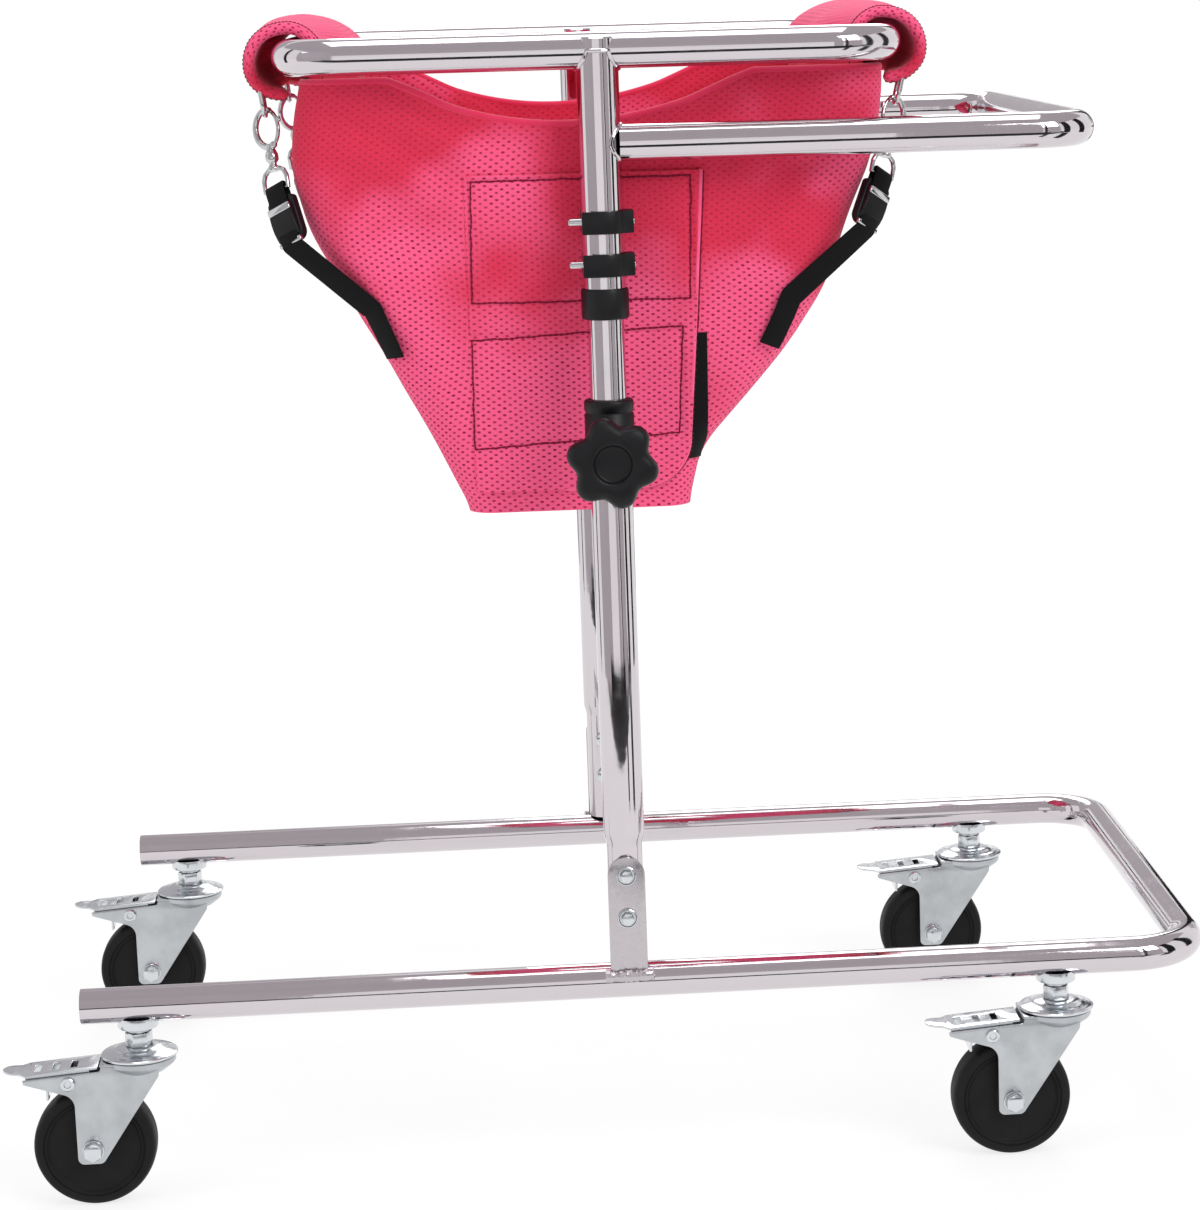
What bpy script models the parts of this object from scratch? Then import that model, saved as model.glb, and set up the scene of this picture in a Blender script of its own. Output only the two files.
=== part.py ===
"""Children's walker with a hanging fabric seat: chrome tube frame on four braked casters.

Metres, +X is the front, +Y the child's left, +Z up, and the floor is z = 0.
X is centred between the tips of the rear brake pedals and the front of the base.
"""
import math

import bmesh
import bpy
from mathutils import Matrix, Vector

MM = 0.001
GAP = 0.3 * MM                      # clearance between two pieces that touch
SEAT_BITE = 0.5 * MM                # depth to which two joined pieces run into each other

# Base frame, a U of round tube that is open at the rear
TRACK = 380 * MM                    # between the axes of the two side tubes
BASE_LENGTH = 708 * MM
BASE_TUBE = 22 * MM
BASE_WALL = 1.5 * MM
BASE_BEND = 40 * MM                 # bend radius to the tube's axis
REAR_STEM_INSET = 34 * MM           # rear caster stem from the open tube end
FRONT_STEM_SETBACK = 101 * MM       # front caster stem from the front of the base
MAST_SETBACK = 370 * MM             # uprights' axes from the front of the base

# Casters
WHEEL_DIAMETER = 75 * MM
WHEEL_WIDTH = 24 * MM
WHEEL_RECESS = 2.5 * MM
CASTER_TRAIL = 30 * MM
FORK_RISE = 55 * MM                 # axle to the top of the fork
FORK_SHEET = 2.5 * MM
CHEEK_CLEARANCE = 2 * MM
CHEEK_FOOT = 8.8 * MM               # axle to the bottom edge of a cheek
CHEEK_BACK = 9.7 * MM               # axle to the rear edge of a cheek
HORN_REACH = 70 * MM                # stem axis to the end of the cheeks' horns
BOWL_RADIUS = 22 * MM               # race bowl pressed under the fork's top
BOWL_DEPTH = 9.5 * MM
CAP_RADIUS = 23.5 * MM
CAP_HEIGHT = 6 * MM
STEM_NUT = 15 * MM                  # across flats
STEM_NUT_HEIGHT = 9 * MM
STEM_NECK = 2.5 * MM
SADDLE_RADIUS = 12.5 * MM
SADDLE_HEIGHT = 3.7 * MM
KINGPIN = 8 * MM
AXLE = 8 * MM
AXLE_HEX = 12 * MM
AXLE_HEAD = 5 * MM

# Brake pedals
PEDAL_REACH = 84 * MM               # stem axis to the tip of the tongue
PEDAL_PIVOT_BACK = 43 * MM          # stem axis to the pivot rivet
PEDAL_PIVOT_DROP = 11.5 * MM        # pivot below the top of the fork
PEDAL_SHEET = 1.6 * MM
PEDAL_FLANGE = 5 * MM
PEDAL_RIVET = 6 * MM
PEDAL_TONGUE = 17 * MM
PEDAL_SLOT = 4 * MM
SHOE_BACK = 12.5 * MM               # brake shoe behind the pivot
SHOE_CLEARANCE = 5 * MM

# Uprights
OUTER_TUBE = 25.4 * MM
OUTER_WALL = 1.3 * MM
INNER_TUBE = 22 * MM
INNER_WALL = 1.5 * MM
LOWER_TUBE_LENGTH = 347 * MM
NECK_LENGTH = 75 * MM               # drawn-down foot of the lower tube
NECK_TUBE = 22 * MM
BRACKET_WIDTH = 23 * MM
BRACKET_SHEET = 3 * MM
BRACKET_HEIGHT = 75 * MM
BRACKET_RISE = 7 * MM               # bracket's foot above the base tube's axis
FOOT_BOLT = 6 * MM
FOOT_BOLT_DROP = 11.6 * MM          # top bolt below the top of the bracket
FOOT_BOLT_PITCH = 27 * MM
COLLAR_LENGTH = 50 * MM
COLLAR_DIAMETER = 30 * MM
COLLAR_LIP = 6 * MM
KNOB_DROP = 35 * MM                 # knob axis below the top of the collar
KNOB_RADIUS = 28 * MM
KNOB_LOBE = 3.4 * MM
KNOB_THICKNESS = 18 * MM
KNOB_RECESS = 13 * MM
KNOB_STUD = 8 * MM
BOSS_DIAMETER = 19 * MM
BOSS_LENGTH = 7 * MM
INNER_SHOWN = 48.5 * MM             # inner tube between the collar and the end sleeve
INNER_LENGTH = 325 * MM
UPPER_TUBE_LENGTH = 155 * MM        # lower end to the axis of the ring
SLEEVE_LENGTH = 18.5 * MM
SLEEVE_DIAMETER = 28.8 * MM
SLEEVE_LIP = 4.2 * MM

# Snap clips with through pins
PIN_DIAMETER = 4.5 * MM
PIN_PITCH = 25.6 * MM
PIN_RISE = 28 * MM                  # lower pin above the end of the upper tube
PIN_TAIL = 8 * MM                   # what shows behind the tube
INNER_ABOVE_PIN = 28 * MM
CLIP_HEIGHT = 13.5 * MM
CLIP_WALL = 2.1 * MM
CLIP_LUG = 5.6 * MM

# Ring and handle
RING_LENGTH = 380 * MM
RING_TUBE = 22 * MM
RING_WALL = 1.5 * MM
RING_BEND = 35 * MM
RING_SETBACK = 4 * MM               # ring centre behind the uprights
VENT_HOLE = 5 * MM
HANDLE_REACH = 303 * MM             # uprights' axes to the front of the handle
HANDLE_DROP = 55 * MM
HANDLE_BEND = 30 * MM

# Seat sling
SLING_WALL = 4.5 * MM
SLING_TOP_DROP = 14 * MM            # top of the side panels below the ring's axis
SLING_DEPTH = 271 * MM              # side panel top to the leg hems
SLING_INSET = 21.7 * MM             # side panel inside the uprights' axes
SLING_CORNER = 26 * MM              # seamed corner at the top of the side panels
CROTCH_RISE = 48 * MM
CROTCH_WIDTH = 34 * MM
LEG_CORNER = 24 * MM
WRAP_INSET = 42 * MM                # side edge of a wrap inside the uprights' axes
WRAP_THICK = 7 * MM
WRAP_LOOSE = 6.5 * MM               # mean air between the wrap and the tube
WRAP_SAG = 4 * MM                   # wrap's middle below and outside the tube's axis
WRAP_TURN = 258                     # degrees that a wrap runs round its tube
REAR_DEE_TURN = 225                 # degrees to the loops that hold the D-rings
FRONT_DEE_TURN = 244
HEM_ROLL = 8 * MM                   # rolled fabric that holds the D-rings
SCOOP_SPAN = 220 * MM
SCOOP_DEPTH = 28.5 * MM
SCOOP_SETBACK = 15 * MM             # middle of the dip behind the uprights
FLAP_THICK = 3 * MM
FLAP_CORNER = 30 * MM
FLAP_RISE = 14 * MM                 # flap's lower edge above the leg hems
FLAP_FLARE = 10 * MM                # its front edge runs forward by this much going up

# Straps and hooks
STRAP_WIDTH = 14 * MM
STRAP_THICK = 1.8 * MM
STRAP_SLACK = 1.6 * MM              # a strap stands off the side panel
REAR_SEAM_TURN = 32                 # degrees round the sling's corner to a rear strap's sewn end
FRONT_SEAM_TURN = 13
STRAP_TWIST = 8                     # degrees that a sewn end turns further round, going down
STRAP_DROP = 175 * MM               # sewn end below the ring's axis
STRAP_SEAM = 30 * MM
BUCKLE_WIDTH = 20 * MM
BUCKLE_LENGTH = 29 * MM
BUCKLE_THICK = 9.5 * MM
RING_WIRE = 3 * MM
HOOK_WIRE = 4 * MM
DEE_WIDTH = 20 * MM
DEE_DROP = 16 * MM
DEE_INSET = 12.5 * MM               # middle of the D-ring from the wrap's side edge
REAR_HOOK_TILT = 7                  # degrees that a hook leans in to its strap
FRONT_HOOK_TILT = 14
HOOK_SPREAD = 16                    # degrees that a hook leans out over the side panel
HOOK_YAW = 35                       # degrees that a hook turns flat to the sling's corner
HOOK_LOOP = 27 * MM
HOOK_LOOP_WIDTH = 17 * MM
SWIVEL_LENGTH = 15 * MM
EYE_LENGTH = 13 * MM

# Places that follow from the sizes
BASE_RADIUS = BASE_TUBE / 2
HALF_TRACK = TRACK / 2
BASE_FRONT_X = (BASE_LENGTH - REAR_STEM_INSET + PEDAL_REACH) / 2
BASE_REAR_X = BASE_FRONT_X - BASE_LENGTH
REAR_STEM_X = BASE_REAR_X + REAR_STEM_INSET
FRONT_STEM_X = BASE_FRONT_X - FRONT_STEM_SETBACK
MAST_X = BASE_FRONT_X - MAST_SETBACK
AXLE_Z = WHEEL_DIAMETER / 2
FORK_TOP_Z = AXLE_Z + FORK_RISE
CAP_Z = FORK_TOP_Z + GAP
NUT_Z = CAP_Z + CAP_HEIGHT
SADDLE_Z = NUT_Z + STEM_NUT_HEIGHT + STEM_NECK
BASE_Z = SADDLE_Z + SADDLE_HEIGHT + BASE_RADIUS
FOOT_Z = BASE_Z + BASE_RADIUS + GAP
LOWER_TOP_Z = FOOT_Z + LOWER_TUBE_LENGTH
COLLAR_TOP_Z = LOWER_TOP_Z + GAP + COLLAR_LIP
KNOB_Z = COLLAR_TOP_Z - KNOB_DROP
SLEEVE_Z = COLLAR_TOP_Z + INNER_SHOWN
UPPER_Z = SLEEVE_Z + SLEEVE_LIP + GAP
RING_Z = UPPER_Z + UPPER_TUBE_LENGTH
HANDLE_Z = RING_Z - HANDLE_DROP
PIN_HEIGHTS = {"lower": UPPER_Z + PIN_RISE, "upper": UPPER_Z + PIN_RISE + PIN_PITCH}
INNER_TOP_Z = PIN_HEIGHTS["upper"] + INNER_ABOVE_PIN
RING_X = MAST_X - RING_SETBACK
BRACKET_TOP_Z = BASE_Z + BRACKET_RISE + BRACKET_HEIGHT
WRAP_HALF = HALF_TRACK - WRAP_INSET
SIDES = {"left": 1, "right": -1}
STEMS = {"rear": REAR_STEM_X, "front": FRONT_STEM_X}


# Mesh helpers

def mesh_from(bm, name, smooth=None):
    """Close a bmesh into a mesh whose faces point out."""
    bmesh.ops.remove_doubles(bm, verts=bm.verts, dist=1e-6)
    bmesh.ops.dissolve_degenerate(bm, edges=bm.edges, dist=1e-6)
    bmesh.ops.recalc_face_normals(bm, faces=bm.faces)
    mesh = bpy.data.meshes.new(name)
    bm.to_mesh(mesh)
    bm.free()
    if smooth:
        mesh.shade_smooth()
        mesh.set_sharp_from_angle(angle=math.radians(smooth))
    return mesh


def temporary(mesh):
    """Link a mesh into the scene for a modifier to work on."""
    holder = bpy.data.objects.new("temporary", mesh)
    bpy.context.scene.collection.objects.link(holder)
    return holder


def bake(holder):
    """Mesh of an object with its modifiers applied; the object goes."""
    depsgraph = bpy.context.evaluated_depsgraph_get()
    mesh = bpy.data.meshes.new_from_object(holder.evaluated_get(depsgraph))
    bpy.data.objects.remove(holder)
    return mesh


def combine(operation, body, tools):
    """One Boolean operation after another, each with the EXACT solver."""
    holder = temporary(body)
    helpers = [temporary(tool) for tool in tools]
    for helper in helpers:
        modifier = holder.modifiers.new("boolean", "BOOLEAN")
        modifier.operation = operation
        modifier.object = helper
    mesh = bake(holder)
    for helper in helpers:
        bpy.data.objects.remove(helper)
    return mesh


def fuse(body, *tools):
    return combine("UNION", body, tools)


def cut(body, *tools):
    return combine("DIFFERENCE", body, tools)


def placed(mesh, matrix):
    """A copy of a mesh moved by a matrix, facing out also when mirrored."""
    copy = mesh.copy()
    copy.transform(matrix)
    if matrix.determinant() < 0:
        copy.flip_normals()
    return copy


def moved(mesh, x=0, y=0, z=0):
    return placed(mesh, Matrix.Translation((x, y, z)))


def mirrored(mesh):
    return placed(mesh, Matrix.Diagonal((1, -1, 1, 1)))


def turned(profile, segments, axis="Z", smooth=35):
    """Spin (radius, height) points about the Z axis, then lay that axis along X or Y."""
    bm = bmesh.new()
    verts = [bm.verts.new((r, 0, z)) for r, z in profile]
    on_axis = profile[0][0] == 0 and profile[-1][0] == 0
    pairs = list(zip(verts, verts[1:])) + ([] if on_axis else [(verts[-1], verts[0])])
    edges = [bm.edges.new(pair) for pair in pairs]
    bmesh.ops.spin(bm, geom=verts + edges, axis=(0, 0, 1), cent=(0, 0, 0), dvec=(0, 0, 0),
                   angle=2 * math.pi, steps=segments, use_merge=True)
    mesh = mesh_from(bm, "turned", smooth)
    turns = {"Z": Matrix(), "X": Matrix.Rotation(math.pi / 2, 4, "Y"),
             "Y": Matrix.Rotation(-math.pi / 2, 4, "X")}
    mesh.transform(turns[axis])
    return mesh


def rod(radius, start, end, segments=12, axis="Z"):
    """Solid cylinder along an axis between two places on it."""
    return turned([(0, start), (radius, start), (radius, end), (0, end)], segments, axis)


def pipe(outer, inner, start, end, segments=16):
    """Hollow cylinder along Z."""
    return turned([(inner, start), (outer, start), (outer, end), (inner, end)], segments)


def extruded(outline, start, end, axis="Z", smooth=None):
    """Extrude a flat outline of (a, b) points along an axis: XY along Z, XZ along Y, YZ along X."""
    place = {"Z": lambda a, b: (a, b, start), "Y": lambda a, b: (a, start, b),
             "X": lambda a, b: (start, a, b)}[axis]
    travel = {"Z": (0, 0, 1), "Y": (0, 1, 0), "X": (1, 0, 0)}[axis]
    bm = bmesh.new()
    face = bm.faces.new([bm.verts.new(place(a, b)) for a, b in outline])
    top = bmesh.ops.extrude_face_region(bm, geom=[face])["geom"]
    shift = Vector(travel) * (end - start)
    bmesh.ops.translate(bm, vec=shift, verts=[v for v in top if isinstance(v, bmesh.types.BMVert)])
    return mesh_from(bm, "extruded", smooth)


def block(low, high):
    """Box between two corners."""
    outline = [(low[0], low[1]), (high[0], low[1]), (high[0], high[1]), (low[0], high[1])]
    return extruded(outline, low[2], high[2])


def arc(centre, radius, start, end, steps):
    """Points on an arc, angles in degrees."""
    angles = [math.radians(start + (end - start) * i / steps) for i in range(steps + 1)]
    return [(centre[0] + radius * math.cos(a), centre[1] + radius * math.sin(a)) for a in angles]


def hexagon(across_flats):
    return arc((0, 0), across_flats / math.sqrt(3), 0, 300, 5)


def loft(sections, closed=False, smooth=40):
    """Skin through sections of equally many points; the ends are capped unless it is closed."""
    bm = bmesh.new()
    loops = [[bm.verts.new(p) for p in section] for section in sections]
    pairs = list(zip(loops, loops[1:])) + ([(loops[-1], loops[0])] if closed else [])
    for first, second in pairs:
        for i in range(len(first)):
            j = (i + 1) % len(first)
            bm.faces.new((first[i], first[j], second[j], second[i]))
    if not closed:
        bm.faces.new(loops[0])
        bm.faces.new(loops[-1])
    return mesh_from(bm, "loft", smooth)


def bent_tube(path, radius, wall=0, cyclic=False, resolution=3):
    """Round tube along a poly curve, hollow when it has a wall."""
    curve = bpy.data.curves.new("tube", "CURVE")
    curve.dimensions = "3D"
    curve.bevel_depth = radius
    curve.bevel_resolution = resolution
    curve.use_fill_caps = wall == 0 and not cyclic
    spline = curve.splines.new("POLY")
    spline.points.add(len(path) - 1)
    for point, place in zip(spline.points, path):
        point.co = (*place, 1)
    spline.use_cyclic_u = cyclic
    mesh = bake(temporary(curve))
    if wall:
        holder = temporary(mesh)
        shell = holder.modifiers.new("wall", "SOLIDIFY")
        shell.thickness = wall
        shell.offset = -1
        shell.use_even_offset = True
        mesh = bake(holder)
    bm = bmesh.new()
    bm.from_mesh(mesh)
    return mesh_from(bm, "tube", 40)


def finish(name, colour, metallic, roughness):
    """Principled material."""
    material = bpy.data.materials.new(name)
    material.use_nodes = True
    shader = material.node_tree.nodes["Principled BSDF"]
    shader.inputs["Base Color"].default_value = (*colour, 1)
    shader.inputs["Metallic"].default_value = metallic
    shader.inputs["Roughness"].default_value = roughness
    material.diffuse_color = (*colour, 1)
    return material


def piece(name, mesh, material, location=(0, 0, 0), parent=None):
    """Named object of one sub-part."""
    item = bpy.data.objects.new(name, mesh)
    bpy.context.scene.collection.objects.link(item)
    item.location = location
    item.parent = parent
    if not mesh.materials:
        mesh.materials.append(material)
    mesh.materials[0] = material
    return item


def pivot(name, location, parent=None):
    """Empty on a joint's axis."""
    empty = bpy.data.objects.new(name, None)
    empty.empty_display_size = 0.02
    empty.location = location
    empty.parent = parent
    bpy.context.scene.collection.objects.link(empty)
    return empty


# Base frame and feet of the uprights

def u_path(rear_x, front_x, half_width, bend, steps=5):
    """Plan of a U that runs forward on the right, across and back on the left."""
    right = arc((front_x - bend, -half_width + bend), bend, -90, 0, steps)
    left = arc((front_x - bend, half_width - bend), bend, 0, 90, steps)
    return [(rear_x, -half_width)] + right + left + [(rear_x, half_width)]


def make_base_frame():
    path = [(x, y, 0) for x, y in u_path(BASE_REAR_X, BASE_FRONT_X - BASE_RADIUS, HALF_TRACK, BASE_BEND)]
    return moved(bent_tube(path, BASE_RADIUS, BASE_WALL), z=BASE_Z)


def make_foot_bracket():
    """Flat bar with a round top, on the outer side of the right side tube."""
    half = BRACKET_WIDTH / 2
    inner_y = -(NECK_TUBE / 2 + GAP)
    outer_y = inner_y - BRACKET_SHEET
    foot_z = BRACKET_TOP_Z - BRACKET_HEIGHT
    outline = [(-half, foot_z), (half, foot_z)] + arc((0, BRACKET_TOP_Z - half), half, 0, 180, 8)
    plate = extruded(outline, outer_y, inner_y, "Y", 40)
    bead_radius = BRACKET_SHEET + 1 * MM
    bead = rod(bead_radius, -half - bead_radius, half + bead_radius, 8, "X")
    bead = moved(bead, y=inner_y - bead_radius / 2, z=foot_z)
    tube = moved(rod(BASE_RADIUS + GAP, -BRACKET_WIDTH, BRACKET_WIDTH, 24, "X"), z=BASE_Z)
    return cut(fuse(plate, bead), tube, *foot_bolt_holes())


def foot_bolt_heights():
    top = BRACKET_TOP_Z - FOOT_BOLT_DROP
    return [top, top - FOOT_BOLT_PITCH]


def foot_bolt_holes():
    hole = rod(FOOT_BOLT / 2 + GAP, -OUTER_TUBE, OUTER_TUBE, 8, "Y")
    return [moved(hole, z=z) for z in foot_bolt_heights()]


def make_foot_bolt():
    """Flanged hexagon bolt with its nut, through the bracket and the tube's drawn-down foot."""
    head_y = -(NECK_TUBE / 2 + BRACKET_SHEET + 2 * GAP)
    nut_y = NECK_TUBE / 2 + GAP
    head = FOOT_BOLT * 0.66
    shank = rod(FOOT_BOLT / 2, head_y - head / 2, nut_y + head, 8, "Y")
    flange = rod(FOOT_BOLT, head_y - head / 3, head_y, 12, "Y")
    hex_head = extruded(hexagon(FOOT_BOLT * 1.3), head_y - head, head_y - head / 4, "Y")
    nut = extruded(hexagon(FOOT_BOLT * 1.66), nut_y, nut_y + head * 1.2, "Y")
    return fuse(shank, flange, hex_head, nut)


def make_lower_tube():
    """Outer tube of the lower telescope, drawn down at its foot."""
    outer, neck = OUTER_TUBE / 2, NECK_TUBE / 2
    neck_z, full_z = FOOT_Z + NECK_LENGTH, FOOT_Z + NECK_LENGTH + 3 * (outer - neck) + 4 * MM
    profile = [(neck - OUTER_WALL, FOOT_Z), (neck, FOOT_Z), (neck, neck_z), (outer, full_z), (outer, LOWER_TOP_Z),
               (outer - OUTER_WALL, LOWER_TOP_Z), (outer - OUTER_WALL, full_z), (neck - OUTER_WALL, neck_z)]
    stud_hole = moved(rod(KNOB_STUD / 2 + GAP, -OUTER_TUBE, 0, 10, "Y"), z=KNOB_Z)
    return cut(turned(profile, 16), stud_hole, *foot_bolt_holes())


# Height clamp: collar and star knob

def make_clamp_collar():
    """Black collar on the lower tube's end; its boss faces outwards and carries the knob."""
    half = COLLAR_DIAMETER / 2
    bottom = COLLAR_TOP_Z - COLLAR_LENGTH
    chamfer = 1.5 * MM
    profile = [(OUTER_TUBE / 2 + GAP, bottom), (half - chamfer, bottom), (half, bottom + chamfer),
               (half, COLLAR_TOP_Z - chamfer), (half - chamfer, COLLAR_TOP_Z), (INNER_TUBE / 2 + GAP, COLLAR_TOP_Z),
               (INNER_TUBE / 2 + GAP, LOWER_TOP_Z + GAP), (OUTER_TUBE / 2 + GAP, LOWER_TOP_Z + GAP)]
    sleeve = turned(profile, 16)
    boss = moved(rod(BOSS_DIAMETER / 2, -half - BOSS_LENGTH, -OUTER_TUBE / 2 - 2 * GAP, 14, "Y"), z=KNOB_Z)
    stud = moved(rod(KNOB_STUD / 2 + GAP, -COLLAR_DIAMETER, 0, 10, "Y"), z=KNOB_Z)
    return cut(fuse(sleeve, boss), stud)


def lobed(radius, depth, lobes=6, per_lobe=6):
    """Star outline with round lobes."""
    count = lobes * per_lobe
    points = []
    for i in range(count):
        angle = 2 * math.pi * i / count
        r = radius - depth + depth * math.cos(lobes * (angle - math.radians(45)))
        points.append((r * math.cos(angle), r * math.sin(angle)))
    return points


def make_star_knob():
    """Six-lobed knob with a dished face and its clamping stud, about the Y axis."""
    base_y = -(COLLAR_DIAMETER / 2 + BOSS_LENGTH + GAP)
    face_y = base_y - KNOB_THICKNESS
    layers = [(0.80, base_y), (0.97, base_y - 0.3 * KNOB_THICKNESS), (1.0, face_y + 0.3 * KNOB_THICKNESS),
              (0.86, face_y)]
    star = lobed(KNOB_RADIUS, KNOB_LOBE)
    body = loft([[(share * x, y, share * z) for x, z in star] for share, y in layers])
    dish = rod(KNOB_RECESS, face_y - KNOB_THICKNESS, face_y + 0.2 * KNOB_THICKNESS, 16, "Y")
    stud = rod(KNOB_STUD / 2, base_y - 0.3 * KNOB_THICKNESS, -(INNER_TUBE / 2 + GAP), 10, "Y")
    return fuse(cut(body, dish), stud)


# Telescope and snap clips

def cross_holes(radius, reach):
    """Cutters along X at the heights of the two pins."""
    return [moved(rod(radius, -reach, reach, 8, "X"), z=z) for z in PIN_HEIGHTS.values()]


def make_inner_tube():
    tube = pipe(INNER_TUBE / 2, INNER_TUBE / 2 - INNER_WALL, INNER_TOP_Z - INNER_LENGTH, INNER_TOP_Z)
    return cut(tube, *cross_holes(PIN_DIAMETER / 2 + GAP, INNER_TUBE))


def make_upper_tube():
    """Upper outer tube, coped over the ring's tube at its top."""
    top = RING_Z + RING_TUBE / 4
    tube = pipe(OUTER_TUBE / 2, OUTER_TUBE / 2 - OUTER_WALL, UPPER_Z, top)
    saddle = extruded([(-RING_TUBE / 2 - GAP, RING_Z), (-RING_TUBE / 2 - GAP, top + OUTER_TUBE),
                       (RING_TUBE / 2 + GAP, top + OUTER_TUBE), (RING_TUBE / 2 + GAP, RING_Z)]
                      + arc((0, RING_Z), RING_TUBE / 2 + GAP, 0, -180, 12)[1:-1], -OUTER_TUBE, OUTER_TUBE, "X")
    return cut(tube, saddle, *cross_holes(PIN_DIAMETER / 2 + GAP, OUTER_TUBE))


def make_end_sleeve():
    """Black sleeve round the lower end of the upper tube."""
    half = SLEEVE_DIAMETER / 2
    chamfer = 1 * MM
    top = SLEEVE_Z + SLEEVE_LENGTH
    profile = [(INNER_TUBE / 2 + GAP, SLEEVE_Z), (half - chamfer, SLEEVE_Z), (half, SLEEVE_Z + chamfer),
               (half, top - chamfer), (half - chamfer, top), (OUTER_TUBE / 2 + GAP, top),
               (OUTER_TUBE / 2 + GAP, SLEEVE_Z + SLEEVE_LIP), (INNER_TUBE / 2 + GAP, SLEEVE_Z + SLEEVE_LIP)]
    return turned(profile, 16)


def make_clip():
    """Springy U round the tube, open to the rear, with a lug in front that holds the pin."""
    inner = OUTER_TUBE / 2 + GAP
    outer = inner + CLIP_WALL
    lug_x = outer + CLIP_LUG - CLIP_WALL
    lug_half = outer * 0.42
    start = math.degrees(math.asin(lug_half * 1.35 / outer))
    outline = ([(-OUTER_TUBE / 2, inner)] + arc((0, 0), inner, 90, -90, 10) + [(-OUTER_TUBE / 2, -inner)]
               + [(-OUTER_TUBE / 2, -outer)] + arc((0, 0), outer, -90, -start, 5)
               + [(lug_x, -lug_half), (lug_x, lug_half)] + arc((0, 0), outer, start, 90, 5)
               + [(-OUTER_TUBE / 2, outer)])
    clip = extruded(outline, -CLIP_HEIGHT / 2, CLIP_HEIGHT / 2, "Z", 40)
    return cut(clip, rod(PIN_DIAMETER / 2 + GAP, 0, 2 * OUTER_TUBE, 8, "X"))


def make_pin():
    tip = -OUTER_TUBE / 2 - PIN_TAIL
    head = OUTER_TUBE / 2 + CLIP_LUG
    radius = PIN_DIAMETER / 2
    return turned([(0, tip), (radius * 0.6, tip), (radius, tip + radius * 0.6), (radius, head), (0, head)], 8, "X")


# Ring and handle

def make_top_ring():
    """Closed rounded rectangle of hollow tube; vent holes open it where the uprights cover them."""
    half = RING_LENGTH / 2 - RING_TUBE / 2
    corners = [(half, HALF_TRACK, 0), (-half, HALF_TRACK, 90), (-half, -HALF_TRACK, 180), (half, -HALF_TRACK, 270)]
    path = []
    for x, y, start in corners:
        centre = (x - math.copysign(RING_BEND, x), y - math.copysign(RING_BEND, y))
        path += arc(centre, RING_BEND, start, start + 90, 5)
    path = [(x, y, 0) for x, y in path]
    ring, core = [bent_tube(path, r, cyclic=True, resolution=3) for r in (RING_TUBE / 2, RING_TUBE / 2 - RING_WALL)]
    vent = rod(VENT_HOLE / 2, -RING_TUBE, 0, 8)
    vents = [moved(vent, x=RING_SETBACK, y=side * HALF_TRACK) for side in SIDES.values()]
    return moved(cut(ring, core, *vents), x=RING_X, z=RING_Z)


def make_handle_bar():
    """U of tube in front of the uprights, its ends coped to them."""
    front = MAST_X + HANDLE_REACH - BASE_RADIUS
    path = [(x, y, 0) for x, y in u_path(MAST_X, front, HALF_TRACK, HANDLE_BEND, 5)]
    bar = bent_tube(path, BASE_RADIUS, BASE_WALL, resolution=3)
    copes = [moved(rod(OUTER_TUBE / 2 + GAP, -OUTER_TUBE, OUTER_TUBE, 32), x=MAST_X, y=side * HALF_TRACK)
             for side in SIDES.values()]
    return moved(keep_front(cut(bar, *copes), MAST_X), z=HANDLE_Z)


def keep_front(mesh, x):
    """Drop the slivers that a cope leaves behind the upright's axis."""
    bm = bmesh.new()
    bm.from_mesh(mesh)
    cut_off = [v for v in bm.verts if v.co.x < x + OUTER_TUBE / 4]
    bmesh.ops.delete(bm, geom=cut_off, context="VERTS")
    return mesh_from(bm, "front", 40)


# Casters, about the stem's axis with the wheel trailing behind

def make_stem():
    """Saddle, nut, bearing cap and kingpin, one riveted stem."""
    half_nut = STEM_NUT / 2 - 1 * MM
    flange_top = FORK_TOP_Z - BOWL_DEPTH - GAP
    flange_bottom = flange_top - 3 * MM
    top = SADDLE_Z + SADDLE_HEIGHT + BASE_RADIUS * 0.3
    rim = 2 * MM
    profile = [(0, flange_bottom), (KINGPIN, flange_bottom), (KINGPIN, flange_top), (KINGPIN / 2, flange_top),
               (KINGPIN / 2, CAP_Z), (CAP_RADIUS, CAP_Z), (CAP_RADIUS, CAP_Z + rim),
               (CAP_RADIUS * 0.88, CAP_Z + rim * 1.4), (CAP_RADIUS * 0.62, NUT_Z - rim / 2),
               (CAP_RADIUS * 0.45, NUT_Z),
               (half_nut, NUT_Z), (half_nut, SADDLE_Z), (SADDLE_RADIUS - 1.5 * MM, SADDLE_Z),
               (SADDLE_RADIUS, SADDLE_Z + 1.5 * MM), (SADDLE_RADIUS - 1.5 * MM, top), (0, top)]
    nut = extruded(hexagon(STEM_NUT), NUT_Z - GAP, NUT_Z + STEM_NUT_HEIGHT)
    tube = moved(rod(BASE_RADIUS + GAP, -2 * SADDLE_RADIUS, 2 * SADDLE_RADIUS, 24, "X"), z=BASE_Z)
    return cut(fuse(turned(profile, 16), nut), tube)


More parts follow.
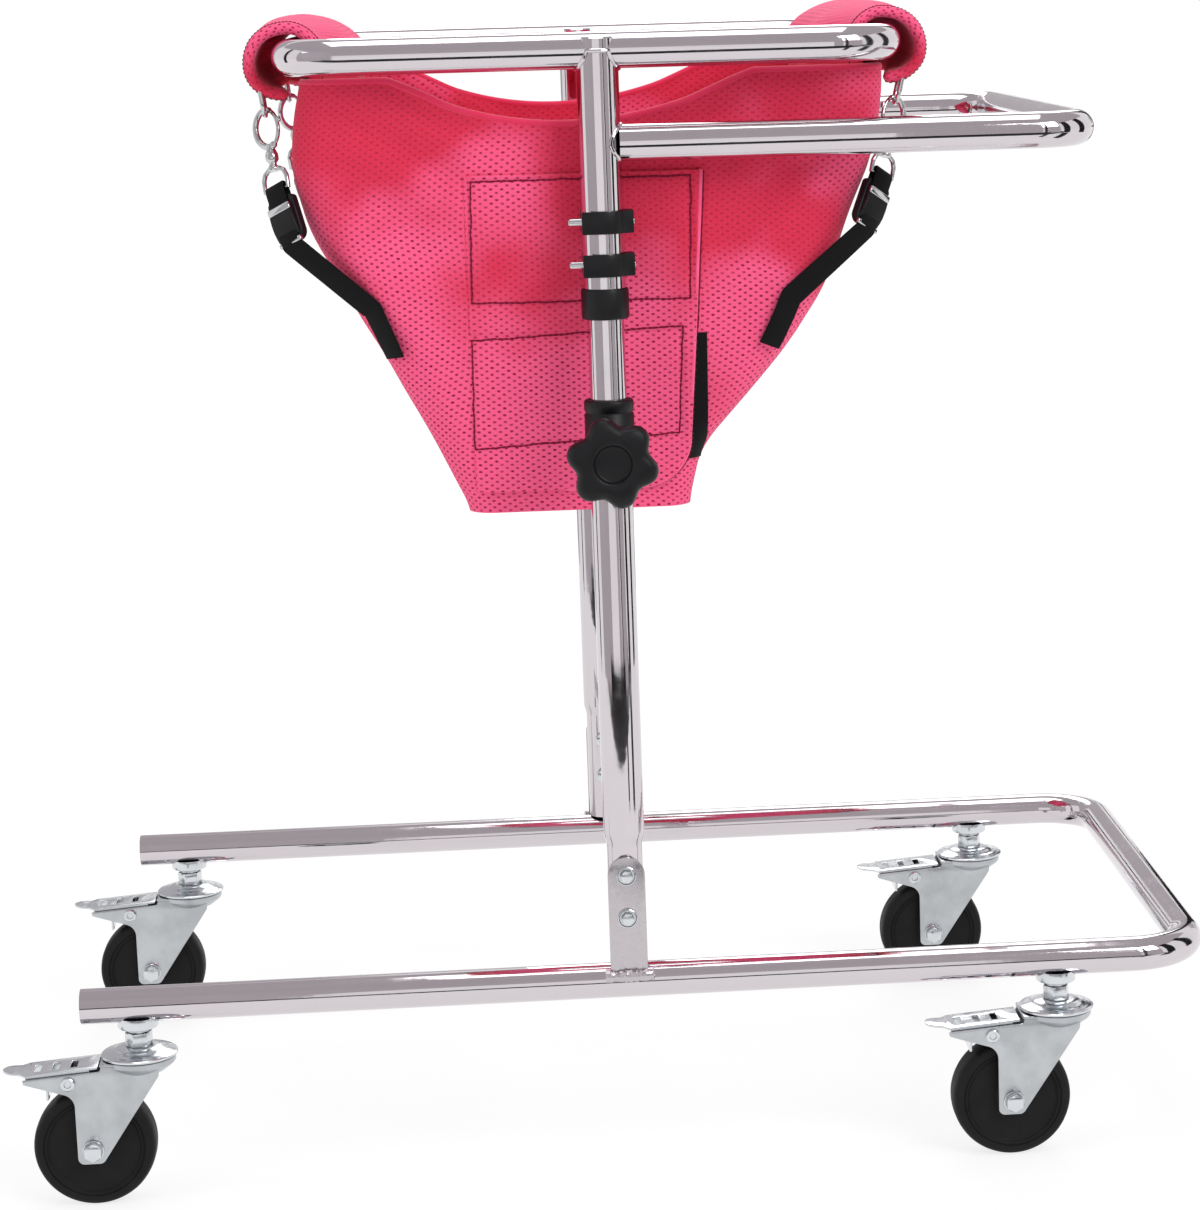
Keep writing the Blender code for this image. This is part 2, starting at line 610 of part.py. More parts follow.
def cheek_outline():
    """Side of the fork: straight front edge, blunt foot, hollow rear edge and the pedal's horn."""
    axle_x = -CASTER_TRAIL
    foot_z = AXLE_Z - CHEEK_FOOT
    back_x = axle_x - CHEEK_BACK
    nose_x = BOWL_RADIUS * 0.6
    nose_z = FORK_TOP_Z - BOWL_DEPTH
    horn_z = FORK_TOP_Z - 8.3 * MM
    hollow = 9 * MM
    front_edge = [(nose_x, FORK_TOP_Z - FORK_SHEET), (nose_x - 1 * MM, nose_z)]
    foot = [(axle_x + CHEEK_FOOT, foot_z + 3 * MM), (axle_x + 5 * MM, foot_z), (axle_x - 5.5 * MM, foot_z),
            (back_x + 1 * MM, foot_z + 2 * MM), (back_x, foot_z + 5 * MM)]
    inside_corner = arc((back_x - hollow, AXLE_Z + 28 * MM), hollow, 0, 80, 4)
    horn = [(-HORN_REACH, horn_z - 2.5 * MM), (-HORN_REACH - 0.5 * MM, horn_z),
            (-CAP_RADIUS, FORK_TOP_Z - 4.8 * MM), (-CAP_RADIUS + 1 * MM, FORK_TOP_Z - FORK_SHEET)]
    return front_edge + foot + inside_corner + horn


def make_fork():
    """Pressed fork: two cheeks, and the bowl of the ball race with the kingpin's hole."""
    inner = WHEEL_WIDTH / 2 + CHEEK_CLEARANCE
    outer = inner + FORK_SHEET
    plate_z = FORK_TOP_Z - FORK_SHEET
    bowl_z = FORK_TOP_Z - BOWL_DEPTH
    rim_z = FORK_TOP_Z - 4 * MM
    plate = block((-CAP_RADIUS, -outer, plate_z), (BOWL_RADIUS * 0.6, outer, FORK_TOP_Z - GAP))
    bowl = turned([(0, bowl_z), (BOWL_RADIUS * 0.65, bowl_z), (BOWL_RADIUS, rim_z), (BOWL_RADIUS, FORK_TOP_Z),
                   (0, FORK_TOP_Z)], 20)
    outline = cheek_outline()
    right = extruded(outline, -outer, -inner, "Y", 40)
    left = extruded(outline, inner, outer, "Y", 40)
    kingpin = rod(KINGPIN / 2 + GAP, 0, 2 * FORK_TOP_Z, 12)
    axle = moved(rod(AXLE / 2 + GAP, -2 * outer, 2 * outer, 10, "Y"), x=-CASTER_TRAIL, z=AXLE_Z)
    rivet = moved(rod(PEDAL_RIVET / 2 + GAP, -2 * outer, 2 * outer, 8, "Y"), x=-PEDAL_PIVOT_BACK, z=pedal_pivot_z())
    return cut(fuse(plate, bowl, right, left), kingpin, axle, rivet)


def pedal_pivot_z():
    return FORK_TOP_Z - PEDAL_PIVOT_DROP


def make_axle_bolt():
    """Hexagon bolt and nut through the cheeks, about the Y axis."""
    face = WHEEL_WIDTH / 2 + CHEEK_CLEARANCE + FORK_SHEET + GAP
    shank = rod(AXLE / 2, -face - AXLE_HEAD / 2, face + AXLE_HEAD * 1.3, 10, "Y")
    head = extruded(hexagon(AXLE_HEX), -face - AXLE_HEAD, -face, "Y")
    nut = extruded(hexagon(AXLE_HEX), face, face + AXLE_HEAD, "Y")
    return fuse(shank, head, nut)


def make_wheel():
    """Solid tyre and hub in one, about the Y axis."""
    radius, half = WHEEL_DIAMETER / 2, WHEEL_WIDTH / 2
    side = [(AXLE / 2 + GAP, half), (0.26 * radius, half), (0.30 * radius, half - WHEEL_RECESS),
            (0.72 * radius, half - WHEEL_RECESS), (0.77 * radius, half - 0.3 * MM),
            (0.93 * radius, half - 0.3 * MM), (radius, half - WHEEL_RECESS)]
    return turned(side + [(r, -y) for r, y in reversed(side)], 24, "Y")


def make_pedal():
    """Brake pedal about its rivet: slotted tread plate with flanges between the cheeks, ears, shoe and tongue."""
    half = WHEEL_WIDTH / 2 + CHEEK_CLEARANCE - GAP
    rivet_y = WHEEL_WIDTH / 2 + CHEEK_CLEARANCE + FORK_SHEET + GAP
    front = PEDAL_PIVOT_BACK - CAP_RADIUS - 1.5 * MM
    back = PEDAL_PIVOT_BACK - HORN_REACH
    tip = PEDAL_PIVOT_BACK - PEDAL_REACH
    front_z = PEDAL_PIVOT_DROP - 4.1 * MM
    back_z = front_z - 3.5 * MM
    slope = (front_z - back_z) / (front - back)

    def plate_z(x):
        return back_z + slope * (x - back)

    side = [(front, front_z), (back, back_z), (tip, back_z + 1 * MM)]
    side += [(x, z + PEDAL_SHEET) for x, z in reversed(side)]
    corner = 3 * MM
    tongue = PEDAL_TONGUE / 2
    plan = ([(front, -half), (front, half), (back, half)] + [(back - corner, tongue + 1 * MM)]
            + arc((tip + tongue, 0), tongue, 90, 270, 6) + [(back - corner, -tongue - 1 * MM), (back, -half)])
    plate = combine("INTERSECT", extruded(side, -half, half, "Y"), [extruded(plan, -PEDAL_REACH, PEDAL_REACH)])
    slots = [block((x, -0.5 * half, -half), (x + PEDAL_SLOT, 0.5 * half, half))
             for x in (back + (0.12 + 0.25 * i) * (front - back) for i in range(3))]
    lip_front = front - PEDAL_FLANGE
    lip = [(lip_front, plate_z(lip_front) + PEDAL_SHEET / 2), (back + 1 * MM, back_z + PEDAL_SHEET / 2),
           (back + 1 * MM, back_z - PEDAL_FLANGE / 2), (back + PEDAL_FLANGE, back_z - PEDAL_FLANGE)]
    lip += arc((0, 0), PEDAL_FLANGE, 200, 340, 4) + [(lip_front, plate_z(lip_front) - PEDAL_FLANGE)]
    wheel_x = PEDAL_PIVOT_BACK + SHOE_BACK - CASTER_TRAIL
    tyre_z = AXLE_Z + math.sqrt((WHEEL_DIAMETER / 2) ** 2 - wheel_x ** 2) - pedal_pivot_z()
    shoe = block((-SHOE_BACK - PEDAL_SHEET, -half + PEDAL_SHEET / 2, tyre_z + SHOE_CLEARANCE),
                 (-SHOE_BACK, half - PEDAL_SHEET / 2, plate_z(-SHOE_BACK) + PEDAL_SHEET / 2))
    shank = rod(PEDAL_RIVET / 2, -rivet_y - 1 * MM, rivet_y + 1 * MM, 8, "Y")
    heads = [rod(PEDAL_RIVET * 0.72, rivet_y, rivet_y + 1.4 * MM, 8, "Y"),
             rod(PEDAL_RIVET * 0.72, -rivet_y - 1.4 * MM, -rivet_y, 8, "Y")]
    flanges = [extruded(lip, half - PEDAL_SHEET, half, "Y"), extruded(lip, -half, -half + PEDAL_SHEET, "Y")]
    return fuse(cut(plate, *slots), *flanges, shoe, shank, *heads)


# Seat sling

def sling_levels():
    """(height, rear x, front x, half width, corner) of the sling's outline from the leg hems up."""
    top = RING_Z - SLING_TOP_DROP
    rear, front = RING_X - RING_LENGTH / 2, RING_X + RING_LENGTH / 2
    half = HALF_TRACK - SLING_INSET
    shares = [(1.00, 0.282, 0.350, 0.238, 0.70), (0.87, 0.237, 0.329, 0.178, 0.80),
              (0.63, 0.155, 0.182, 0.083, 1.00), (0.50, 0.103, 0.121, 0.042, 1.15),
              (0.34, 0.042, 0.084, 0.012, 1.15), (0.20, 0.018, 0.042, 0.0, 1.10),
              (0.08, 0.026, 0.026, 0.0, 1.00), (0.0, 0.040, 0.024, 0.0, 1.00)]
    return [(top - drop * SLING_DEPTH, rear + back * RING_LENGTH, front - ahead * RING_LENGTH,
             half * (1 - narrow), corner * SLING_CORNER) for drop, back, ahead, narrow, corner in shares]


def rounded_section(z, rear, front, half, corner, inset=0, steps=4):
    """Level rounded rectangle."""
    rear, front, half, corner = rear + inset, front - inset, half - inset, corner - inset
    centres = [(front - corner, half - corner, 0), (rear + corner, half - corner, 90),
               (rear + corner, -half + corner, 180), (front - corner, -half + corner, 270)]
    points = []
    for x, y, start in centres:
        points += arc((x, y), corner, start, start + 90, steps)
    return [(x, y, z) for x, y in points]


def sling_loft(inset=0, levels=None):
    return loft([rounded_section(*level, inset=inset) for level in levels or sling_levels()])


def make_sling_body():
    """Bag like a pair of shorts: open waist, crotch and two leg openings."""
    levels = sling_levels()
    hem, top = levels[0][0], levels[-1][0]
    crotch_z = hem + CROTCH_RISE
    floor = (crotch_z, *sling_size(crotch_z))
    over = (top + 20 * MM, *levels[-1][1:])
    inside = sling_loft(SLING_WALL, [floor] + levels[2:] + [over])
    rear, front, half = levels[0][1] + SLING_WALL, levels[0][2] - SLING_WALL, levels[0][3] - SLING_WALL
    legs = []
    for side in SIDES.values():
        near, far = sorted((side * CROTCH_WIDTH / 2, side * half))
        middle, reach = (near + far) / 2, (far - near) / 2
        flat = [(x, middle + y, z) for x, y, z in rounded_section(0, rear, front, reach, LEG_CORNER)]
        legs.append(loft([[(x, y, z) for x, y, _ in flat] for z in (hem - 5 * MM, crotch_z + 5 * MM)]))
    sag = (SCOOP_SPAN ** 2 / 4 + SCOOP_DEPTH ** 2) / (2 * SCOOP_DEPTH)
    low = top - SCOOP_DEPTH + sag
    reach = math.degrees(math.asin(SCOOP_SPAN * 0.6 / sag))
    scoop = extruded(arc((MAST_X - SCOOP_SETBACK, low), sag, -90 - reach, -90 + reach, 12), -TRACK, TRACK, "Y")
    return cut(sling_loft(), inside, *legs, scoop)


def wrap_place(turn):
    """Point on a wrap's middle line about its tube's axis, turned from the inner side over the top."""
    radius = RING_TUBE / 2 + WRAP_LOOSE + WRAP_THICK / 2
    angle = math.radians(turn)
    return radius * math.cos(angle) - WRAP_SAG, radius * math.sin(angle) - WRAP_SAG


def wrap_path(end, steps=13):
    """Middle line of a wrap about a cross tube at the origin: from the panel up inside, over and down outside."""
    rear, front = sling_levels()[-1][1:3]
    panel = end * (cross_tube_x(end) - (front if end > 0 else rear)) + SLING_WALL / 2
    turns = [wrap_place(WRAP_TURN * i / steps) for i in range(steps + 1)]
    return [(panel, -2 * SLING_TOP_DROP)] + turns


def strip_outline(path, thickness):
    """Outline of a strip of even thickness along a flat path."""
    left, right = [], []
    for i, (x, z) in enumerate(path):
        before, after = path[max(i - 1, 0)], path[min(i + 1, len(path) - 1)]
        run = Vector((after[0] - before[0], after[1] - before[1])).normalized() * thickness / 2
        left.append((x - run.y, z + run.x))
        right.append((x + run.y, z - run.x))
    return left + right[::-1]


def dee_place(side_y, end):
    """Where a D-ring's bar lies under a wrap; end is -1 at the rear and 1 at the front."""
    x, z = wrap_place(FRONT_DEE_TURN if end > 0 else REAR_DEE_TURN)
    return Vector((cross_tube_x(end) - end * x, side_y * (WRAP_HALF - DEE_INSET), RING_Z + z))


def cross_tube_x(end):
    """Axis of the ring's rear (-1) or front (1) cross tube."""
    return RING_X + end * (RING_LENGTH - RING_TUBE) / 2


def make_wrap(end):
    """Padded end of the sling over one cross tube of the ring, with its rolled hem."""
    outline = [(cross_tube_x(end) - end * x, RING_Z + z) for x, z in strip_outline(wrap_path(end), WRAP_THICK)]
    place = dee_place(0, end)
    roll = moved(rod(HEM_ROLL / 2, -WRAP_HALF + GAP, WRAP_HALF - GAP, 10, "Y"), x=place.x, z=place.z)
    return fuse(extruded(outline, -WRAP_HALF, WRAP_HALF, "Y", 40), roll)


def make_seat_sling():
    cutters = []
    for end in (-1, 1):
        for side in SIDES.values():
            cutters.append(placed(make_dee(GAP), Matrix.Translation(dee_place(side, end)) @ dee_tilt(end)))
    return cut(fuse(make_sling_body(), make_wrap(-1), make_wrap(1)), *cutters)


def make_closure_flap():
    """Right side flap that closes the sling: a sheet on the side panel with one round corner."""
    levels = sling_levels()
    low, high = levels[0][0] + FLAP_RISE, levels[-1][0] - 0.22 * SLING_DEPTH
    rear, front = MAST_X - 0.216 * RING_LENGTH, MAST_X + 0.137 * RING_LENGTH
    outline = ([(rear, low)] + arc((front - FLAP_CORNER, low + FLAP_CORNER), FLAP_CORNER, -90, 0, 6)
               + [(front + FLAP_FLARE, high), (rear, high)])
    prism = extruded(outline, -TRACK, -CROTCH_WIDTH, "Y")
    outer = combine("INTERSECT", prism, [sling_loft(-GAP - FLAP_THICK)])
    return cut(outer, sling_loft(-GAP))


# Hooks and straps of the right side, at a D-ring's place

def dee_tilt(end):
    """A D-ring's lean about its own bar, in towards the middle of the seat."""
    return Matrix.Rotation(math.radians(FRONT_HOOK_TILT if end > 0 else -REAR_HOOK_TILT), 4, "Y")


def hook_frame(end):
    """Lean of a right hook and its strap, which turn sideways where the hook hangs on the D-ring."""
    hang = Matrix.Translation((0, 0, -DEE_DROP))
    spread = Matrix.Rotation(math.radians(-HOOK_SPREAD), 4, "X")
    yaw = Matrix.Rotation(math.radians(end * HOOK_YAW), 4, "Z")
    return dee_tilt(end) @ hang @ spread @ yaw @ hang.inverted()


def wire_loop(width, height, wire, steps=4):
    """Stadium of round wire in the XZ plane, hung from its top."""
    radius = width / 2 - wire / 2
    points = arc((0, -width / 2), radius, 0, 180, steps) + arc((0, -height + width / 2), radius, 180, 360, steps)
    return bent_tube([(x, 0, z) for x, z in points], wire / 2, cyclic=True, resolution=1)


def make_dee(room=0):
    """D-ring: straight bar in the rolled fabric, round below; room is added all round for a cutter."""
    half = (DEE_WIDTH - RING_WIRE) / 2
    points = [(half, 0)] + arc((0, -DEE_DROP + half), half, 0, -180, 5) + [(-half, 0)]
    return bent_tube([(0, y, z) for y, z in points], RING_WIRE / 2 + room, cyclic=True, resolution=1)


def hook_levels():
    """Heights below the D-ring's bar: hook loop top, swivel top, eye top and eye bar."""
    loop_top = -DEE_DROP + RING_WIRE / 2 + HOOK_WIRE - SEAT_BITE
    swivel_top = loop_top - HOOK_LOOP + HOOK_WIRE
    eye_top = swivel_top - SWIVEL_LENGTH
    return loop_top, swivel_top, eye_top, eye_top - EYE_LENGTH


def make_snap_hook(end):
    """D-ring with the right swivel snap hook that hangs on it, and the hook's eye for the strap."""
    loop_top, swivel_top, eye_top, eye_bar = hook_levels()
    loop = moved(wire_loop(HOOK_LOOP_WIDTH, HOOK_LOOP, HOOK_WIRE), z=loop_top)
    barrel = rod(0.8 * HOOK_WIRE, eye_top - 1 * MM, swivel_top - 1 * MM, 8)
    half = STRAP_WIDTH / 2 + RING_WIRE / 2 + 2 * GAP
    eye_points = [(half, eye_bar), (0.8 * half, eye_top - 2 * MM), (0, eye_top), (-0.8 * half, eye_top - 2 * MM),
                  (-half, eye_bar)]
    eye = bent_tube([(x, 0, z) for x, z in eye_points], RING_WIRE / 2, cyclic=True, resolution=1)
    leaning = [placed(part, hook_frame(end)) for part in (loop, barrel, eye)]
    return fuse(*leaning, placed(make_dee(), dee_tilt(end)))


def ribbon(route, width, thickness):
    """Flat webbing along (place, face normal) stations."""
    sections = []
    for i, (place, normal) in enumerate(route):
        run = route[min(i + 1, len(route) - 1)][0] - route[max(i - 1, 0)][0]
        across = normal.cross(run).normalized() * width / 2
        lift = normal * thickness / 2
        sections.append([place + across + lift, place - across + lift, place - across - lift, place + across - lift])
    return loft(sections, smooth=30)


def make_strap(end):
    """Right strap from the hook's eye through the buckle to its sewn end; end is -1 at the rear, 1 in front."""
    frame = Matrix.Translation(dee_place(-1, end)) @ hook_frame(end)
    eye_bar = hook_levels()[3]
    fold = RING_WIRE / 2 + GAP + STRAP_THICK / 2
    buckle_z = eye_bar - 6 * MM
    over = [Vector((0, math.cos(a), math.sin(a))) for a in (math.pi * i / 6 for i in range(7))]
    route = [(Vector((0, fold, buckle_z - 0.8 * BUCKLE_LENGTH)), over[0])]
    route += [(Vector((0, 0, eye_bar)) + fold * normal, normal) for normal in over]
    route += [(Vector((0, -fold, z)), over[-1]) for z in (buckle_z, buckle_z - BUCKLE_LENGTH - 1 * MM)]
    route = [(frame @ place, frame.to_3x3() @ normal) for place, normal in route]
    off = GAP + STRAP_THICK / 2 + STRAP_SLACK
    bend_z = RING_Z - STRAP_DROP + STRAP_SEAM - 8 * MM
    turn = FRONT_SEAM_TURN if end > 0 else REAR_SEAM_TURN
    for share in (0, 0.5, 1):
        route.append(on_sling(turn + share * STRAP_TWIST, bend_z - share * STRAP_SEAM, end, off))
    low = Vector((-BUCKLE_WIDTH / 2, -BUCKLE_THICK / 2, buckle_z - BUCKLE_LENGTH))
    buckle = placed(block(low, low + Vector((BUCKLE_WIDTH, BUCKLE_THICK, BUCKLE_LENGTH))), frame)
    return fuse(ribbon(route, STRAP_WIDTH, STRAP_THICK), buckle)


def on_sling(turn, z, end, off):
    """Place off the sling's corner on the right, turned by degrees from its side, with the outward normal."""
    rear, front, half, corner = sling_size(z)
    centre = Vector((front if end > 0 else rear, -half, z)) + corner * Vector((-end, 1, 0))
    normal = Vector((end * math.sin(math.radians(turn)), -math.cos(math.radians(turn)), 0))
    return centre + (corner + off) * normal, normal


def sling_size(z):
    """Rear x, front x, half width and corner of the sling's outline at a height."""
    levels = sling_levels()
    for low, high in zip(levels, levels[1:]):
        if low[0] <= z <= high[0]:
            share = (z - low[0]) / (high[0] - low[0])
            return [a + share * (b - a) for a, b in zip(low[1:], high[1:])]
    return levels[-1][1:]


# Assembly

def build_casters(finishes):
    stem, fork, bolt = make_stem(), make_fork(), make_axle_bolt()
    wheel, pedal = make_wheel(), make_pedal()
    for end, x in STEMS.items():
        for side, sign in SIDES.items():
            name = f"{end}_{side}"
            place = (x, sign * HALF_TRACK, 0)
            piece(f"{name}_caster_stem", stem, finishes["zinc"], place)
            swivel = pivot(f"{name}_swivel", place)
            piece(f"{name}_fork", fork, finishes["zinc"], parent=swivel)
            axle = (-CASTER_TRAIL, 0, AXLE_Z)
            piece(f"{name}_axle_bolt", bolt, finishes["zinc"], axle, swivel)
            piece(f"{name}_wheel", wheel, finishes["rubber"], axle, swivel)
            piece(f"{name}_brake_pedal", pedal, finishes["zinc"], (-PEDAL_PIVOT_BACK, 0, pedal_pivot_z()), swivel)


def build_uprights(finishes):
    makers = {"foot_bracket": (make_foot_bracket, "chrome"), "lower_tube": (make_lower_tube, "chrome"),
              "clamp_collar": (make_clamp_collar, "plastic"), "inner_tube": (make_inner_tube, "chrome"),
              "upper_tube": (make_upper_tube, "chrome"), "end_sleeve": (make_end_sleeve, "plastic")}
    knob, clip, pin, bolt = make_star_knob(), make_clip(), make_pin(), make_foot_bolt()
    for part, (maker, kind) in makers.items():
        right = maker()
        for side, sign in SIDES.items():
            mesh = right if sign < 0 else mirrored(right)
            piece(f"{side}_{part}", mesh, finishes[kind], (MAST_X, sign * HALF_TRACK, 0))
    for side, sign in SIDES.items():
        mesh = knob if sign < 0 else mirrored(knob)
        piece(f"{side}_star_knob", mesh, finishes["plastic"], (MAST_X, sign * HALF_TRACK, KNOB_Z))
        mesh = bolt if sign < 0 else mirrored(bolt)
        for level, z in zip(("upper", "lower"), foot_bolt_heights()):
            piece(f"{side}_{level}_foot_bolt", mesh, finishes["zinc"], (MAST_X, sign * HALF_TRACK, z))
        for level, z in PIN_HEIGHTS.items():
            slide = pivot(f"{side}_{level}_clip_slide", (MAST_X, sign * HALF_TRACK, z))
            piece(f"{side}_{level}_clip", clip, finishes["plastic"], parent=slide)
            piece(f"{side}_{level}_pin", pin, finishes["steel"], parent=slide)


def build_seat(finishes):
    piece("seat_sling", make_seat_sling(), finishes["fabric"])
    flap = make_closure_flap()
    hooks = {"rear": make_snap_hook(-1), "front": make_snap_hook(1)}
    straps = {"rear": make_strap(-1), "front": make_strap(1)}
    for side, sign in SIDES.items():
        piece(f"{side}_closure_flap", flap if sign < 0 else mirrored(flap), finishes["fabric"])
        for end, direction in (("rear", -1), ("front", 1)):
            hook = hooks[end] if sign < 0 else mirrored(hooks[end])
            piece(f"{end}_{side}_snap_hook", hook, finishes["steel"], dee_place(sign, direction))
            strap = straps[end] if sign < 0 else mirrored(straps[end])
            piece(f"{end}_{side}_strap", strap, finishes["webbing"])


def main():
    for item in list(bpy.data.objects):
        bpy.data.objects.remove(item)
    finishes = {"chrome": finish("chrome plate", (0.78, 0.78, 0.80), 1.0, 0.08),
                "zinc": finish("zinc plate", (0.62, 0.65, 0.68), 1.0, 0.32),
                "steel": finish("bright steel", (0.72, 0.72, 0.74), 1.0, 0.15),
                "plastic": finish("black plastic", (0.012, 0.012, 0.014), 0.0, 0.45),
                "rubber": finish("black rubber", (0.015, 0.015, 0.017), 0.0, 0.6),
                "fabric": finish("pink mesh fabric", (0.87, 0.07, 0.19), 0.0, 0.85),
                "webbing": finish("black webbing", (0.01, 0.01, 0.011), 0.0, 0.8)}
    piece("base_frame", make_base_frame(), finishes["chrome"])
    piece("top_ring", make_top_ring(), finishes["chrome"])
    piece("handle_bar", make_handle_bar(), finishes["chrome"])
    build_casters(finishes)
    build_uprights(finishes)
    build_seat(finishes)


main()
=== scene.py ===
"""Looks of the children's walker with a hanging seat, dressed over its packed CAD frame.

Metres, +X is the front, +Y the child's left, +Z up, and the floor is z = 0.
"""
import math
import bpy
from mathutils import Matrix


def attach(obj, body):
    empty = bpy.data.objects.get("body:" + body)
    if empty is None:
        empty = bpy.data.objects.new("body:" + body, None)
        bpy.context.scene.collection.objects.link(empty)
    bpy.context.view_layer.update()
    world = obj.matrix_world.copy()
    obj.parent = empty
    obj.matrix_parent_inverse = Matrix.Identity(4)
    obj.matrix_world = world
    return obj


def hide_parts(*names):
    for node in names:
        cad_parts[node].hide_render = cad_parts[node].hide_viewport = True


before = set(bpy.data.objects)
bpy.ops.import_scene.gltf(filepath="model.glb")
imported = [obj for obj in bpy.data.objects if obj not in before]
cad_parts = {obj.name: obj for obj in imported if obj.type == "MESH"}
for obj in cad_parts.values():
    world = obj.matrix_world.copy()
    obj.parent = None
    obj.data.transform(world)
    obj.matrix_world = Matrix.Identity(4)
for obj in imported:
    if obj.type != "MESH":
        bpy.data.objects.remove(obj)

from types import SimpleNamespace

import bmesh
import bpy
from mathutils import Matrix, Vector, noise
from mathutils.bvhtree import BVHTree

bl_info = {
    "name": "Children's Walker",
    "version": (1, 0, 0),
    "blender": (4, 5, 0),
    "location": "3D View > Sidebar > Walker",
    "description": "Builds the visible pieces of a children's walker with a hanging seat",
    "category": "Object",
}

MM = 0.001
GAP = 0.3 * MM
SIDES = {"left": 1, "right": -1}
ENDS = {"rear": -1, "front": 1}


def length(name, millimetres, about):
    """Size property in metres."""
    return bpy.props.FloatProperty(name=name, description=about, default=millimetres * MM, unit="LENGTH",
                                   subtype="DISTANCE")


def linear(hex_colour):
    """Linear colour of an sRGB hex string."""
    parts = [int(hex_colour[i:i + 2], 16) / 255 for i in (1, 3, 5)]
    return [c / 12.92 if c <= 0.04045 else ((c + 0.055) / 1.055) ** 2.4 for c in parts]


def colour(name, hex_colour, about):
    """Colour property, given as sRGB hex."""
    return bpy.props.FloatVectorProperty(name=name, description=about, default=linear(hex_colour), size=3,
                                         min=0, max=1, subtype="COLOR")


class WalkerFrameSizes(bpy.types.PropertyGroup):
    """Sizes of the metal frame, the same as in the CAD source."""
    track: length("Track", 380, "Between the axes of the two side tubes")
    base_length: length("Base length", 708, "Rear tube ends to the front of the base")
    base_bend: length("Base bend", 40, "Bend radius of the base to the tube's axis")
    tube: length("Tube", 22, "Outer diameter of the base, ring, handle and inner tubes")
    tube_wall: length("Tube wall", 1.5, "Wall of those tubes")
    outer_tube: length("Outer tube", 25.4, "Outer diameter of the lower and upper upright tubes")
    lower_tube: length("Lower tube", 347, "Length of the lower upright tube")
    neck: length("Neck", 75, "Length of the lower tube's drawn-down foot")
    upper_tube: length("Upper tube", 155, "Lower end of the upper tube to the ring's axis")
    inner_shown: length("Inner tube shown", 48.5, "Inner tube between the collar and the end sleeve")
    ring_length: length("Ring length", 380, "Outside length of the top ring")
    ring_bend: length("Ring bend", 35, "Bend radius of the ring")
    handle_reach: length("Handle reach", 303, "Uprights' axes to the front of the handle")
    handle_drop: length("Handle drop", 55, "Handle's axis below the ring's axis")
    handle_bend: length("Handle bend", 30, "Bend radius of the handle")
    collar: length("Collar", 50, "Length of the clamp collar")
    knob: length("Knob radius", 28, "Radius of the star knob over its lobes")
    knob_depth: length("Knob depth", 18, "Thickness of the star knob")
    sleeve: length("End sleeve", 18.5, "Length of the upper tube's end sleeve")
    clip: length("Snap clip", 13.5, "Height of a snap clip")
    pin: length("Pin", 4.5, "Diameter of a through pin")


class WalkerCasterSizes(bpy.types.PropertyGroup):
    """Sizes of the four casters."""
    wheel: length("Wheel", 75, "Diameter of the wheel")
    wheel_width: length("Wheel width", 24, "Width of the tyre")
    trail: length("Trail", 30, "Axle behind the stem's axis")
    fork_rise: length("Fork rise", 55, "Axle to the top of the fork")
    fork_sheet: length("Fork sheet", 2.5, "Thickness of the fork's steel")
    cap: length("Bearing cap", 23.5, "Radius of the bearing cap")
    cap_height: length("Cap height", 6, "Height of the bearing cap")
    nut: length("Stem nut", 15, "Stem nut across flats")
    nut_height: length("Nut height", 9, "Height of the stem nut")
    pedal_reach: length("Pedal reach", 84, "Stem's axis to the tip of the pedal")
    pivot_back: length("Pedal pivot", 43, "Stem's axis to the pedal's rivet")
    pivot_drop: length("Pivot drop", 11.5, "Pedal's rivet below the top of the fork")


class WalkerSeatSizes(bpy.types.PropertyGroup):
    """Sizes of the hanging seat, its straps and hooks."""
    top_drop: length("Panel top", 14, "Top of the side panels below the ring's axis")
    depth: length("Sling depth", 271, "Top of the side panels to the leg hems")
    inset: length("Panel inset", 21.7, "Side panel inside the uprights' axes")
    corner: length("Sling corner", 26, "Corner radius of the sling in plan")
    cloth: length("Cloth", 3.4, "Thickness of the spacer mesh")
    crotch_rise: length("Crotch rise", 48, "Leg hems to the crotch")
    crotch_width: length("Crotch width", 34, "Between the two leg openings")
    wrap_inset: length("Wrap inset", 42, "Side edge of a wrap inside the uprights' axes")
    wrap_thick: length("Wrap thickness", 7, "Padded thickness of a wrap")
    scoop_span: length("Scoop span", 220, "Width of the dip in a side panel's top edge")
    scoop_depth: length("Scoop depth", 28.5, "Depth of that dip")
    scoop_setback: length("Scoop setback", 15, "Middle of that dip behind the uprights")
    flap_thick: length("Flap thickness", 3, "Thickness of a closure flap")
    flap_corner: length("Flap corner", 30, "Round corner of a closure flap")
    flap_rise: length("Flap rise", 14, "Lower edge of a closure flap above the leg hems")
    strap_width: length("Strap width", 14, "Width of the webbing")
    strap_thick: length("Strap thickness", 1.8, "Thickness of the webbing")


class WalkerColours(bpy.types.PropertyGroup):
    """Colours of the finishes."""
    chrome: colour("Chrome", "#d2ccd0", "Bright chrome plate")
    zinc: colour("Zinc", "#c8cccf", "Satin zinc plate")
    nickel: colour("Nickel", "#c9cacc", "Polished nickel plate")
    plastic: colour("Plastic", "#0c0d10", "Black moulded plastic")
    rubber: colour("Rubber", "#0b0b0d", "Black tyre rubber")
    cloth: colour("Mesh cloth", "#fe5889", "Pink spacer mesh")
    # Painted shade: a darker pink for the mesh where shade falls under the ring and wraps; the cloth there is
    # the same.
    cloth_painted_shade: colour("Deep mesh", "#da1a44", "The same mesh where it hangs tight under the ring")
    hole: colour("Holes", "#8c0038", "Inside of the mesh's holes")
    thread: colour("Thread", "#780830", "Sewing thread")
    webbing: colour("Webbing", "#060608", "Black webbing")
    floor: colour("Floor", "#f4f4f4", "Studio floor")


